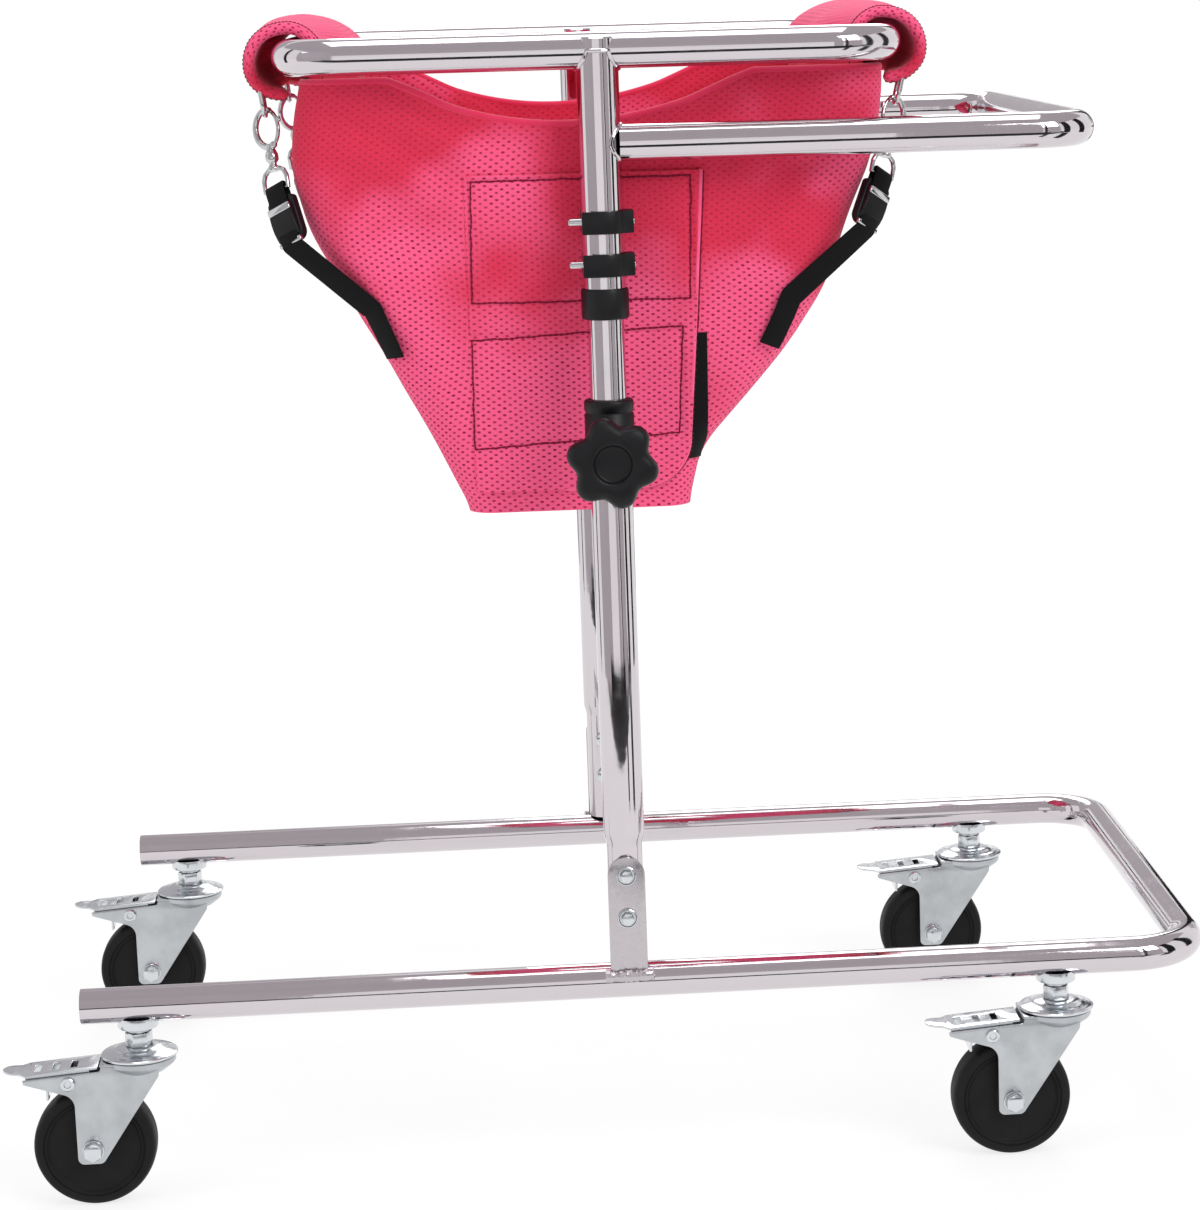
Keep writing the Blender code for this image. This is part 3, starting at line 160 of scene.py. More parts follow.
REAR_OVERHANG = 34 * MM         # rear tube ends behind the rear stems
FRONT_OVERHANG = 101 * MM       # front of the base ahead of the front stems
MAST_SETBACK = 370 * MM         # uprights behind the front of the base
RING_SETBACK = 4 * MM           # middle of the ring behind the uprights
SADDLE_RISE = 2.5 * MM          # weld saddle above the stem nut
SADDLE_HEIGHT = 3.7 * MM        # of the weld saddle, under the base tube
COLLAR_LIP = 6 * MM             # collar's top above the lower tube
KNOB_DROP = 35 * MM             # knob's axis below the collar's top
SLEEVE_LIP = 4.2 * MM           # end sleeve under the upper tube
PIN_RISES = {"lower": 28 * MM, "upper": 53.6 * MM}      # above the upper tube's lower end
BRACKET_RISE = 82 * MM          # foot bracket's top above the base's axis
BOLT_DROPS = {"upper": 11.6 * MM, "lower": 38.6 * MM}   # below the bracket's top
TYRE_ROOM = 2 * MM              # between tyre and fork cheek
FORK_NOSE = 13.2 * MM           # fork's front edge ahead of the stem's axis
BOWL_DEPTH = 9.5 * MM           # ball race's bowl below the top of the fork
FLAP_TAIL = 82 * MM             # flap's rear edge behind the uprights
FLAP_FRONT = 0.137              # flap's front edge ahead of the uprights, as a share of the ring's length
FLAP_SLANT = 10 * MM            # how far that edge leans forward up to the flap's top
FLAP_DROP = 0.22                # flap's top below the panel's, as a share of the sling's depth
ARCH_SLACK = 6 * MM             # cloth arch between the legs below the crotch

SIZE_GROUPS = {"walker_frame": WalkerFrameSizes, "walker_caster": WalkerCasterSizes,
               "walker_seat": WalkerSeatSizes}
GROUPS = {**SIZE_GROUPS, "walker_colours": WalkerColours}


def lay_out():
    """All sizes, with the places that follow from them."""
    scene = bpy.context.scene
    s = SimpleNamespace()
    for key in SIZE_GROUPS:
        group = getattr(scene, key)
        for name in group.__annotations__:
            setattr(s, name, getattr(group, name))
    s.radius = s.tube / 2
    s.outer = s.outer_tube / 2
    s.half_track = s.track / 2
    s.base_front = (s.base_length - REAR_OVERHANG + s.pedal_reach) / 2
    s.base_rear = s.base_front - s.base_length
    s.stems = {"rear": s.base_rear + REAR_OVERHANG, "front": s.base_front - FRONT_OVERHANG}
    s.mast_x = s.base_front - MAST_SETBACK
    s.ring_x = s.mast_x - RING_SETBACK
    s.cheek_in = s.wheel_width / 2 + TYRE_ROOM
    s.cheek_out = s.cheek_in + s.fork_sheet
    s.axle_z = s.wheel / 2
    s.fork_z = s.axle_z + s.fork_rise
    s.cap_z = s.fork_z + GAP
    s.nut_z = s.cap_z + s.cap_height
    s.saddle_z = s.nut_z + s.nut_height + SADDLE_RISE
    s.base_z = s.saddle_z + SADDLE_HEIGHT + s.radius
    s.foot_z = s.base_z + s.radius + GAP
    s.lower_top = s.foot_z + s.lower_tube
    s.collar_top = s.lower_top + GAP + COLLAR_LIP
    s.knob_z = s.collar_top - KNOB_DROP
    s.sleeve_z = s.collar_top + s.inner_shown
    s.upper_z = s.sleeve_z + SLEEVE_LIP + GAP
    s.ring_z = s.upper_z + s.upper_tube
    s.handle_z = s.ring_z - s.handle_drop
    s.pins = {level: s.upper_z + rise for level, rise in PIN_RISES.items()}
    s.bracket_top = s.base_z + BRACKET_RISE
    s.bolts = {level: s.bracket_top - drop for level, drop in BOLT_DROPS.items()}
    s.wrap_half = s.half_track - s.wrap_inset
    s.panel_top = s.ring_z - s.top_drop
    s.hem_z = s.panel_top - s.depth
    s.arch = s.crotch_rise - ARCH_SLACK
    s.flap_low = s.hem_z + s.flap_rise
    s.flap_high = s.panel_top - FLAP_DROP * s.depth
    s.flap_rear = s.mast_x - FLAP_TAIL
    return s


# Mesh helpers

def mm(*points, x=0, y=0):
    """Flat points given in millimetres from a place."""
    return [(x + a * MM, y + b * MM) for a, b in points]


def mirrored(x=0, y=0):
    """(side, matrix) that puts what is modelled for the right side, about its own origin, on each side."""
    for side, sign in SIDES.items():
        yield side, Matrix.Translation((x, sign * y, 0)) @ Matrix.Diagonal((1, -sign, 1, 1))


def surface(columns, rows, place, flat=lambda u, v: (u, v)):
    """Grid whose points place(u, v) puts in space, u and v from 0 to 1. flat(u, v) is the same spot of the
    cloth laid out."""
    bm = bmesh.new()
    layer = bm.loops.layers.uv.new("cloth")
    bmesh.ops.create_grid(bm, x_segments=columns, y_segments=rows, size=0.5)
    for face in bm.faces:
        for loop in face.loops:
            loop[layer].uv = flat(loop.vert.co.x + 0.5, loop.vert.co.y + 0.5)
    for vert in bm.verts:
        vert.co = place(vert.co.x + 0.5, vert.co.y + 0.5)
    bmesh.ops.remove_doubles(bm, verts=bm.verts, dist=0.02 * MM)
    bmesh.ops.dissolve_degenerate(bm, edges=bm.edges, dist=0.01 * MM)
    return bm


def turned(profile, steps=64, axis="Z"):
    """Spin (radius, height) points about Z, then lay that axis along X or Y."""
    bm = bmesh.new()
    verts = [bm.verts.new((r, 0, z)) for r, z in profile]
    on_axis = profile[0][0] == 0 and profile[-1][0] == 0
    pairs = list(zip(verts, verts[1:])) + ([] if on_axis else [(verts[-1], verts[0])])
    edges = [bm.edges.new(pair) for pair in pairs]
    bmesh.ops.spin(bm, geom=verts + edges, axis=(0, 0, 1), cent=(0, 0, 0), dvec=(0, 0, 0),
                   angle=2 * math.pi, steps=steps, use_merge=True)
    bmesh.ops.remove_doubles(bm, verts=bm.verts, dist=0.001 * MM)
    bmesh.ops.recalc_face_normals(bm, faces=bm.faces)
    turn = {"Z": Matrix(), "X": Matrix.Rotation(math.pi / 2, 4, "Y"),
            "Y": Matrix.Rotation(-math.pi / 2, 4, "X")}
    bmesh.ops.transform(bm, matrix=turn[axis], verts=bm.verts)
    return bm


def extruded(outline, start, end, axis="Z"):
    """Extrude a flat outline of (a, b) points along an axis: XY along Z, XZ along Y, YZ along X."""
    place = {"Z": lambda a, b: (a, b, start), "Y": lambda a, b: (a, start, b),
             "X": lambda a, b: (start, a, b)}[axis]
    travel = Vector({"Z": (0, 0, 1), "Y": (0, 1, 0), "X": (1, 0, 0)}[axis])
    bm = bmesh.new()
    face = bm.faces.new([bm.verts.new(place(a, b)) for a, b in outline])
    top = bmesh.ops.extrude_face_region(bm, geom=[face])["geom"]
    lifted = [v for v in top if isinstance(v, bmesh.types.BMVert)]
    bmesh.ops.translate(bm, vec=travel * (end - start), verts=lifted)
    bmesh.ops.recalc_face_normals(bm, faces=bm.faces)
    return bm


def eased(bm, width, segments=2, angle=30):
    """Round off the edges that are sharper than an angle."""
    sharp = [e for e in bm.edges if len(e.link_faces) == 2 and e.calc_face_angle(0) > math.radians(angle)]
    bmesh.ops.bevel(bm, geom=sharp, offset=width, offset_type="OFFSET", segments=segments, profile=0.5,
                    affect="EDGES", clamp_overlap=True, material=-1)
    return bm


def moved(bm, x=0, y=0, z=0):
    bmesh.ops.translate(bm, vec=(x, y, z), verts=bm.verts)
    return bm


def placed(bm, matrix):
    bmesh.ops.transform(bm, matrix=matrix, verts=bm.verts)
    if matrix.determinant() < 0:
        bmesh.ops.reverse_faces(bm, faces=bm.faces)
    return bm


def joined(*parts):
    """One bmesh of several."""
    whole = bmesh.new()
    for part in parts:
        mesh = bpy.data.meshes.new("part")
        part.to_mesh(mesh)
        part.free()
        whole.from_mesh(mesh)
        bpy.data.meshes.remove(mesh)
    return whole


def copied(bm, matrix=Matrix()):
    return placed(bm.copy(), matrix)


def baked(holder):
    """Mesh of an object with its modifiers applied; the object goes."""
    depsgraph = bpy.context.evaluated_depsgraph_get()
    mesh = bpy.data.meshes.new_from_object(holder.evaluated_get(depsgraph))
    bpy.data.objects.remove(holder)
    return mesh


def holder_of(data):
    holder = bpy.data.objects.new("holder", data)
    bpy.context.scene.collection.objects.link(holder)
    return holder


def mesh_of(bm):
    mesh = bpy.data.meshes.new("mesh")
    bm.to_mesh(mesh)
    bm.free()
    return mesh


def bmesh_of(mesh):
    bm = bmesh.new()
    bm.from_mesh(mesh)
    bpy.data.meshes.remove(mesh)
    return bm


def carved(bm, *tools):
    """Cut tools out of a closed form."""
    holder = holder_of(mesh_of(bm))
    helpers = [holder_of(mesh_of(tool)) for tool in tools]
    for helper in helpers:
        modifier = holder.modifiers.new("carve", "BOOLEAN")
        modifier.operation = "DIFFERENCE"
        modifier.object = helper
    mesh = baked(holder)
    for helper in helpers:
        bpy.data.objects.remove(helper)
    return bmesh_of(mesh)


def walled(bm, thickness):
    """Give an open sheet its thickness on the side away from its normals."""
    holder = holder_of(mesh_of(bm))
    shell = holder.modifiers.new("wall", "SOLIDIFY")
    shell.thickness = thickness
    shell.offset = -1
    shell.use_even_offset = True
    return bmesh_of(baked(holder))


def facing(bm, centre):
    """Turn an open sheet's faces away from a point."""
    bmesh.ops.recalc_face_normals(bm, faces=bm.faces)
    side = sum((f.calc_center_median() - Vector(centre)).dot(f.normal) * f.calc_area() for f in bm.faces)
    if side < 0:
        bmesh.ops.reverse_faces(bm, faces=bm.faces)
    return bm


def swept(path, radius, wall=0, cyclic=False, resolution=15, radii=None):
    """Round tube along a path."""
    curve = bpy.data.curves.new("tube", "CURVE")
    curve.dimensions = "3D"
    curve.bevel_depth = radius
    curve.bevel_resolution = resolution
    curve.use_fill_caps = wall == 0 and not cyclic
    spline = curve.splines.new("POLY")
    spline.points.add(len(path) - 1)
    for i, place in enumerate(path):
        spline.points[i].co = (*place, 1)
        spline.points[i].radius = radii[i] if radii else 1
    spline.use_cyclic_u = cyclic
    bm = bmesh_of(baked(holder_of(curve)))
    bmesh.ops.remove_doubles(bm, verts=bm.verts, dist=0.001 * MM)
    bmesh.ops.recalc_face_normals(bm, faces=bm.faces)
    if wall:
        bm = eased(walled(bm, wall), 0.3 * MM, angle=60)
    return bm


def arc(centre, radius, start, end, steps):
    """Points on an arc, angles in degrees."""
    angles = [math.radians(start + (end - start) * i / steps) for i in range(steps + 1)]
    return [(centre[0] + radius * math.cos(a), centre[1] + radius * math.sin(a)) for a in angles]


def hexagon(across_flats, start=0):
    return arc((0, 0), across_flats / math.sqrt(3), start, start + 300, 5)


def rounded_box(low, high, width, segments=3):
    outline = [(low[0], low[1]), (high[0], low[1]), (high[0], high[1]), (low[0], high[1])]
    return eased(extruded(outline, low[2], high[2]), width, segments)


def spline_point(points, share):
    """Place on a smooth curve through points, share from 0 to 1."""
    spot = min(max(share, 0), 1) * (len(points) - 1)
    i = min(int(spot), len(points) - 2)
    t = spot - i
    a, b, c, d = (Vector(points[min(max(j, 0), len(points) - 1)]) for j in (i - 1, i, i + 1, i + 2))
    square, cube = 2 * a - 5 * b + 4 * c - d, 3 * b - a - 3 * c + d
    return 0.5 * (2 * b + (c - a) * t + square * t * t + cube * t ** 3)


def smooth_step(low, high, value):
    t = min(max((value - low) / (high - low), 0), 1)
    return t * t * (3 - 2 * t)


MATERIALS = {}


def show(name, bm, body, finish, *nodes, smooth=35):
    """Finish a piece: it rides on a body and stands for CAD nodes."""
    mesh = mesh_of(bm)
    mesh.name = name
    mesh.shade_smooth()
    mesh.set_sharp_from_angle(angle=math.radians(smooth))
    mesh.materials.append(MATERIALS[finish])
    item = bpy.data.objects.new(name, mesh)
    bpy.context.scene.collection.objects.link(item)
    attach(item, body)
    if nodes:
        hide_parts(*nodes)
    return item


# Materials

SPREAD = {"From Min": 0.35, "From Max": 0.65}   # nearly all values of a noise lie between these


def wire(tree, node, settings):
    """Set a node's properties and inputs; a node or a socket given for an input is linked into it."""
    for key, value in settings.items():
        if isinstance(value, bpy.types.Node):
            value = value.outputs[0]
        if isinstance(value, bpy.types.NodeSocket):
            tree.links.new(value, node.inputs[key])
        elif isinstance(key, int) or key in node.inputs:
            node.inputs[key].default_value = value
        else:
            setattr(node, key, value)
    return node


def add(tree, kind, settings=None):
    """Add a shader node with its settings and links."""
    return wire(tree, tree.nodes.new("ShaderNode" + kind), settings or {})


def material(name, base, even):
    """Principled material whose even values sit on the shader's own sockets."""
    made = bpy.data.materials.new(name)
    made.use_nodes = True
    made.diffuse_color = base
    tree = made.node_tree
    return made, tree, wire(tree, tree.nodes["Principled BSDF"], {"Base Color": base, **even})


def shade(colour, factor, lift=0.0):
    """A colour made darker or lighter."""
    return (*(min(1, factor * c + lift) for c in colour[:3]), 1)


def mottled(tree, scale, detail, low=0.0, high=1.0):
    """Value that drifts from low to high in patches, scale in waves per metre."""
    place = add(tree, "TexCoord").outputs["Object"]
    patches = add(tree, "TexNoise", {"Vector": place, "Scale": scale, "Detail": detail})
    return add(tree, "MapRange", {"Value": patches, **SPREAD, "To Min": low, "To Max": high})


def uneven(tree, scale, detail, strength, depth):
    """Normal of an uneven skin, scale in waves per metre."""
    place = add(tree, "TexCoord").outputs["Object"]
    skin = add(tree, "TexNoise", {"Vector": place, "Scale": scale, "Detail": detail})
    return add(tree, "Bump", {"Height": skin, "Strength": strength, "Distance": depth})


def painted_crevice_shade(tree, colour, dark, reach):
    """Colour that darkens in narrow corners, where plating is dull and dirt stays."""
    corner = add(tree, "AmbientOcclusion", {"samples": 6, "Distance": reach}).outputs["AO"]
    share = add(tree, "MapRange", {"Value": corner, "From Min": 0.28, "From Max": 0.62})
    return add(tree, "Mix", {"data_type": "RGBA", 0: share, 6: dark, 7: colour}).outputs[2]


def build_chrome(colours):
    """Bright chrome plate on drawn tube: a mirror, a little hazy in patches, its streaks bent by the draw
    marks."""
    made, tree, shader = material("bright chrome plate on drawn tube", colours.chrome, {"Metallic": 1.0})
    # Base colour with painted shade in its crevices.
    wire(tree, shader, {"Roughness": mottled(tree, 35, 3, 0.035, 0.12),
                        "Normal": uneven(tree, 90, 1, 0.05, 1 * MM),
                        "Base Color": painted_crevice_shade(tree, colours.chrome, shade(colours.chrome, 0.16), 3 * MM)})
    return made


def build_flat_chrome(colours):
    """The same plate on flat bar, which is blasted before plating: greyer and duller than the tubes."""
    duller = shade(colours.chrome, 0.86)
    made, tree, shader = material("satin chrome plate on flat bar", duller, {"Metallic": 1.0})
    # Base colour with painted shade in its crevices.
    wire(tree, shader, {"Roughness": mottled(tree, 300, 3, 0.22, 0.32),
                        "Base Color": painted_crevice_shade(tree, duller, shade(duller, 0.2), 3 * MM)})
    return made


def build_zinc(colours):
    """Pressed steel, barrel zinc plated: satin, with fine pressing grain and slightly darker clouds."""
    made, tree, shader = material("satin zinc plate on pressed steel", colours.zinc, {"Metallic": 1.0})
    clouded = add(tree, "Mix", {"data_type": "RGBA", 0: mottled(tree, 60, 3), 6: shade(colours.zinc, 0.8),
                                7: colours.zinc}).outputs[2]
    # Base colour with painted shade in its crevices, over the random darker clouds.
    wire(tree, shader, {"Roughness": mottled(tree, 60, 3, 0.27, 0.40),
                        "Normal": uneven(tree, 1400, 2, 0.12, 0.2 * MM),
                        "Base Color": painted_crevice_shade(tree, clouded, shade(colours.zinc, 0.14), 3 * MM)})
    return made


def build_bright_zinc(colours):
    """The same plate on turned parts and sheared edges, which come out brighter."""
    brighter = shade(colours.zinc, 1.18)
    made, tree, shader = material("bright zinc plate on turned steel", brighter, {"Metallic": 1.0})
    # Base colour with painted shade in its crevices, such as round the bolt flanges.
    wire(tree, shader, {"Roughness": mottled(tree, 120, 2, 0.12, 0.26),
                        "Base Color": painted_crevice_shade(tree, brighter, shade(colours.zinc, 0.06), 5 * MM)})
    return made


def build_nickel(colours):
    """Polished nickel on cast hooks and bent wire: bright, with faint waves from the polishing wheel."""
    made, tree, shader = material("polished nickel plate on hooks", colours.nickel, {"Metallic": 1.0})
    wire(tree, shader, {"Roughness": mottled(tree, 220, 2, 0.08, 0.2),
                        "Normal": uneven(tree, 260, 1, 0.08, 0.4 * MM)})
    return made


def build_plastic(colours):
    """Injection-moulded black plastic with a fine spark-eroded skin."""
    made, tree, shader = material("moulded black plastic", colours.plastic, {"Specular IOR Level": 0.28})
    wire(tree, shader, {"Roughness": mottled(tree, 90, 3, 0.36, 0.5),
                        "Normal": uneven(tree, 1800, 2, 0.2, 0.15 * MM)})
    return made


def build_rubber(colours):
    """Moulded tyre rubber: dull black with a bloom of dust that lies in patches."""
    made, tree, shader = material("moulded tyre rubber", colours.rubber, {"Specular IOR Level": 0.22})
    dusty = add(tree, "Mix", {"data_type": "RGBA", 0: mottled(tree, 70, 4), 6: colours.rubber,
                              7: shade(colours.rubber, 1, 0.006)}).outputs[2]
    wire(tree, shader, {"Base Color": dusty, "Roughness": mottled(tree, 70, 4, 0.5, 0.7),
                        "Normal": uneven(tree, 900, 3, 0.25, 0.2 * MM)})
    return made


COLUMN_PITCH = 6.6 * MM             # two columns of holes, because every second column is staggered
HOLE_PITCH = 4.3 * MM               # along a column
WANDER = 1.6 * MM                   # how far the columns drift out of line
SHADE_BAND = (0.77, 0.91)                # height in m plus patches, over which painted shade turns the cloth deep pink under the ring
TOP_LIGHT = (0.686, 0.704)          # heights in m over which the painted shade gives way to the pale, lit tops of the wraps
HEM_SHADE_BAND = (0.59, 0.655)           # heights in m over which painted shade turns the hems deep pink under the ring


def build_cloth(colours):
    """Knitted spacer mesh: staggered columns of small dark holes that fade in the deeper pink near the top, a
    soft nap between them and a faint sheen where the cloth turns away."""
    made, tree, shader = material("knitted spacer mesh", colours.cloth,
                                  {"Roughness": 0.85, "Sheen Weight": 0.14, "Sheen Roughness": 0.35,
                                   "Specular IOR Level": 0.2})
    laid = add(tree, "UVMap", {"uv_map": "cloth"})
    drift = add(tree, "TexNoise", {"Vector": laid, "Scale": 55.0, "Detail": 1.0}).outputs["Color"]
    shifted = add(tree, "VectorMath", {"operation": "MULTIPLY_ADD", 0: drift, 1: (WANDER, WANDER, 0),
                                       2: laid})
    split = add(tree, "SeparateXYZ", {0: shifted})
    waves = []
    for axis, pitch in (("X", COLUMN_PITCH), ("Y", HOLE_PITCH)):
        turns = add(tree, "Math", {"operation": "MULTIPLY", 0: split.outputs[axis], 1: 2 * math.pi / pitch})
        waves.append(add(tree, "Math", {"operation": "COSINE", 0: turns}))
    lattice = add(tree, "Math", {"operation": "MULTIPLY", 0: waves[0], 1: waves[1]})
    hole = add(tree, "MapRange", {"interpolation_type": "SMOOTHSTEP", "Value": lattice, "From Min": 0.30,
                                  "From Max": 0.80})
    worn = add(tree, "TexNoise", {"Vector": laid, "Scale": 190.0, "Detail": 2.0})
    faint = add(tree, "MapRange", {"Value": worn, **SPREAD, "To Min": 0.6, "To Max": 1.0})
    place = add(tree, "TexCoord").outputs["Object"]
    # Painted shade: near the top the pink turns deep in noisy patches and the holes fade there, all but on
    # the wraps' tops.
    shade_patches = add(tree, "TexNoise", {"Vector": place, "Scale": 11.0, "Detail": 2.0})
    height = add(tree, "SeparateXYZ", {0: place}).outputs["Z"]
    shade_height = add(tree, "Math", {"operation": "MULTIPLY_ADD", 0: shade_patches, 1: 0.5, 2: height})
    tight = add(tree, "MapRange", {"interpolation_type": "SMOOTHSTEP", "Value": shade_height,
                                   "From Min": SHADE_BAND[0], "From Max": SHADE_BAND[1]})
    unlit = add(tree, "MapRange", {"Value": height, "From Min": TOP_LIGHT[0], "From Max": TOP_LIGHT[1],
                                   "To Min": 1.0, "To Max": 0.1})
    deep = add(tree, "Math", {"operation": "MULTIPLY", 0: tight, 1: unlit})
    fading = add(tree, "MapRange", {"Value": deep, "To Min": 1.0, "To Max": 0.45})
    strength = add(tree, "Math", {"operation": "MULTIPLY", 0: fading, 1: faint})
    pit = add(tree, "Math", {"operation": "MULTIPLY", 0: hole, 1: strength})
    nap = add(tree, "TexNoise", {"Vector": laid, "Scale": 1500.0, "Detail": 3.0})
    fuzz = add(tree, "MapRange", {"Value": nap, **SPREAD, "To Min": 0.0, "To Max": 0.6})
    # The pink darkened by the painted shade.
    base = add(tree, "Mix", {"data_type": "RGBA", 0: deep, 6: colours.cloth,
                             7: colours.cloth_painted_shade}).outputs[2]
    paler = add(tree, "Mix", {"data_type": "RGBA", 0: 0.10, 6: base, 7: (1.0, 0.75, 0.85, 1)}).outputs[2]
    threaded = add(tree, "Mix", {"data_type": "RGBA", 0: fuzz, 6: base, 7: paler}).outputs[2]
    pitted = add(tree, "Mix", {"data_type": "RGBA", 0: pit, 6: threaded, 7: colours.hole}).outputs[2]
    depth = add(tree, "Math", {"operation": "MULTIPLY_ADD", 0: pit, 1: -1.0, 2: nap})
    relief = add(tree, "Bump", {"Height": depth, "Strength": 0.5, "Distance": 0.7 * MM})
    wire(tree, shader, {"Base Color": pitted, "Normal": relief})
    return made


def build_binding(colours):
    """The same cloth turned over a narrow hem: tight, so that no holes show, with its knit's fine ribs."""
    made, tree, shader = material("turned hem of spacer mesh", colours.cloth,
                                  {"Roughness": 0.8, "Sheen Weight": 0.3, "Specular IOR Level": 0.2})
    plain = add(tree, "Mix", {"data_type": "RGBA", 0: mottled(tree, 90, 2), 6: colours.cloth,
                              7: shade(colours.cloth, 1.15, 0.02)}).outputs[2]
    # Painted shade: the hems near the top turn deep pink under the ring.
    height = add(tree, "SeparateXYZ", {0: add(tree, "TexCoord").outputs["Object"]}).outputs["Z"]
    tight = add(tree, "MapRange", {"Value": height, "From Min": HEM_SHADE_BAND[0], "From Max": HEM_SHADE_BAND[1],
                                   "To Max": 0.8})
    base = add(tree, "Mix", {"data_type": "RGBA", 0: tight, 6: plain, 7: colours.cloth_painted_shade}).outputs[2]
    wire(tree, shader, {"Base Color": base, "Normal": uneven(tree, 1100, 2, 0.4, 0.4 * MM)})
    return made


def build_thread(colours):
    """Twisted sewing thread, darker than the cloth it pulls in."""
    made, tree, shader = material("twisted sewing thread", colours.thread,
                                  {"Roughness": 0.7, "Specular IOR Level": 0.2})
    wire(tree, shader, {"Normal": uneven(tree, 2500, 1, 0.4, 0.2 * MM)})
    return made


def build_webbing(colours):
    """Woven polyester webbing: a herringbone of fine ribs, drawn a little coarse so that it reads, and a dull
    sheen."""
    made, tree, shader = material("woven black webbing", colours.webbing,
                                  {"Roughness": 0.75, "Sheen Weight": 0.04, "Specular IOR Level": 0.15})
    laid = add(tree, "UVMap", {"uv_map": "cloth"})
    ribs = add(tree, "TexWave", {"wave_type": "BANDS", "bands_direction": "DIAGONAL", "Vector": laid,
                                 "Scale": 700.0, "Distortion": 0.4, "Detail": 1.0}).outputs["Fac"]
    base = add(tree, "Mix", {"data_type": "RGBA", 0: ribs, 6: colours.webbing,
                             7: shade(colours.webbing, 2, 0.003)}).outputs[2]
    relief = add(tree, "Bump", {"Height": ribs, "Strength": 0.5, "Distance": 0.3 * MM})
    wire(tree, shader, {"Base Color": base, "Normal": relief})
    return made


def build_materials():
    group = bpy.context.scene.walker_colours
    colours = SimpleNamespace(**{name: (*getattr(group, name), 1) for name in group.__annotations__})
    for build in (build_chrome, build_flat_chrome, build_zinc, build_bright_zinc, build_nickel, build_plastic,
                  build_rubber, build_cloth, build_binding, build_thread, build_webbing):
        MATERIALS[build.__name__.removeprefix("build_")] = build(colours)


# Frame tubes

def u_path(rear_x, front_x, half_width, bend, z, steps=20):
    """U that runs forward on the right, across and back on the left."""
    right = arc((front_x - bend, -half_width + bend), bend, -90, 0, steps)
    left = arc((front_x - bend, half_width - bend), bend, 0, 90, steps)
    return [(x, y, z) for x, y in [(rear_x, -half_width)] + right + left + [(rear_x, half_width)]]


def bead(points, radius, cyclic=False, seed=0.0):
    """Weld bead along points: a lumpy round ridge."""
    radii = [1 + 0.28 * noise.noise(Vector(p) / (1.6 * MM) + Vector((seed, 0, 0))) for p in points]
    return swept(points, radius, cyclic=cyclic, resolution=3, radii=radii)


def ring_path(s, steps=20):
    half = s.ring_length / 2 - s.radius
    path = []
    for x, y, start in ((half, s.half_track, 0), (-half, s.half_track, 90), (-half, -s.half_track, 180),
                        (half, -s.half_track, 270)):
        centre = (s.ring_x + x - math.copysign(s.ring_bend, x), y - math.copysign(s.ring_bend, y))
        path += arc(centre, s.ring_bend, start, start + 90, steps)
    return [(x, y, s.ring_z) for x, y in path]


def build_tubes(s):
    base = u_path(s.base_rear, s.base_front - s.radius, s.half_track, s.base_bend, s.base_z)
    show("base_tube", swept(base, s.radius, s.tube_wall), "base", "chrome", "base_frame")
    show("ring_tube", swept(ring_path(s), s.radius, cyclic=True), "mast", "chrome", "top_ring")
    handle = u_path(s.mast_x + s.outer - 1 * MM, s.mast_x + s.handle_reach - s.radius, s.half_track,
                    s.handle_bend, s.handle_z)
    show("handle_tube", swept(handle, s.radius), "mast", "chrome", "handle_bar")
    for side, sign in SIDES.items():
        y = sign * s.half_track
        joint, top = [], []
        for angle in (2 * math.pi * i / 60 for i in range(60)):
            wide, high = s.radius * math.cos(angle), s.radius * math.sin(angle)
            joint.append((s.mast_x + math.sqrt(s.outer ** 2 - wide ** 2), y + wide, s.handle_z + high))
            across = s.outer * math.sin(angle)
            drop = math.sqrt(max(s.radius ** 2 - across ** 2, 0))
            top.append((s.mast_x + s.outer * math.cos(angle), y + across, s.ring_z - drop))
        show(f"{side}_handle_weld", bead(joint, 1.3 * MM, True), "mast", "chrome")
        show(f"{side}_ring_weld", bead(top, 1.4 * MM, True, 5.0), "mast", "chrome")


def build_uprights(s):
    """Lower tubes drawn down at the foot, telescopes and capped upper tubes."""
    wall = 1.3 * MM
    shoulder = s.foot_z + s.neck
    taper = 9 * MM
    lower = [(s.radius - wall, s.foot_z), (s.radius, s.foot_z)]
    lower += [(s.radius + (s.outer - s.radius) * smooth_step(0, 1, i / 8), shoulder + taper * i / 8)
              for i in range(9)]
    lower += [(s.outer, s.lower_top), (s.outer - wall, s.lower_top), (s.outer - wall, shoulder + taper),
              (s.radius - wall, shoulder)]
    high = s.pins["upper"] + 28 * MM
    low = high - 325 * MM
    inner = [(s.radius - s.tube_wall, low), (s.radius, low), (s.radius, high), (s.radius - s.tube_wall, high)]
    top = s.ring_z + 8 * MM
    upper = [(s.outer - wall, s.upper_z), (s.outer, s.upper_z), (s.outer, top - 1 * MM),
             (s.outer - 1 * MM, top), (0, top), (0, top - wall), (s.outer - wall, top - wall)]
    pieces = (("lower_upright", "base", "lower_tube", eased(turned(lower, 96), 0.25 * MM, angle=60)),
              ("telescope", "mast", "inner_tube", turned(inner, 96)),
              ("upper_upright", "mast", "upper_tube", turned(upper, 96)))
    for side, sign in SIDES.items():
        place = Matrix.Translation((s.mast_x, sign * s.half_track, 0))
        for name, body, node, bm in pieces:
            show(f"{side}_{name}", copied(bm, place), body, "chrome", f"{side}_{node}")


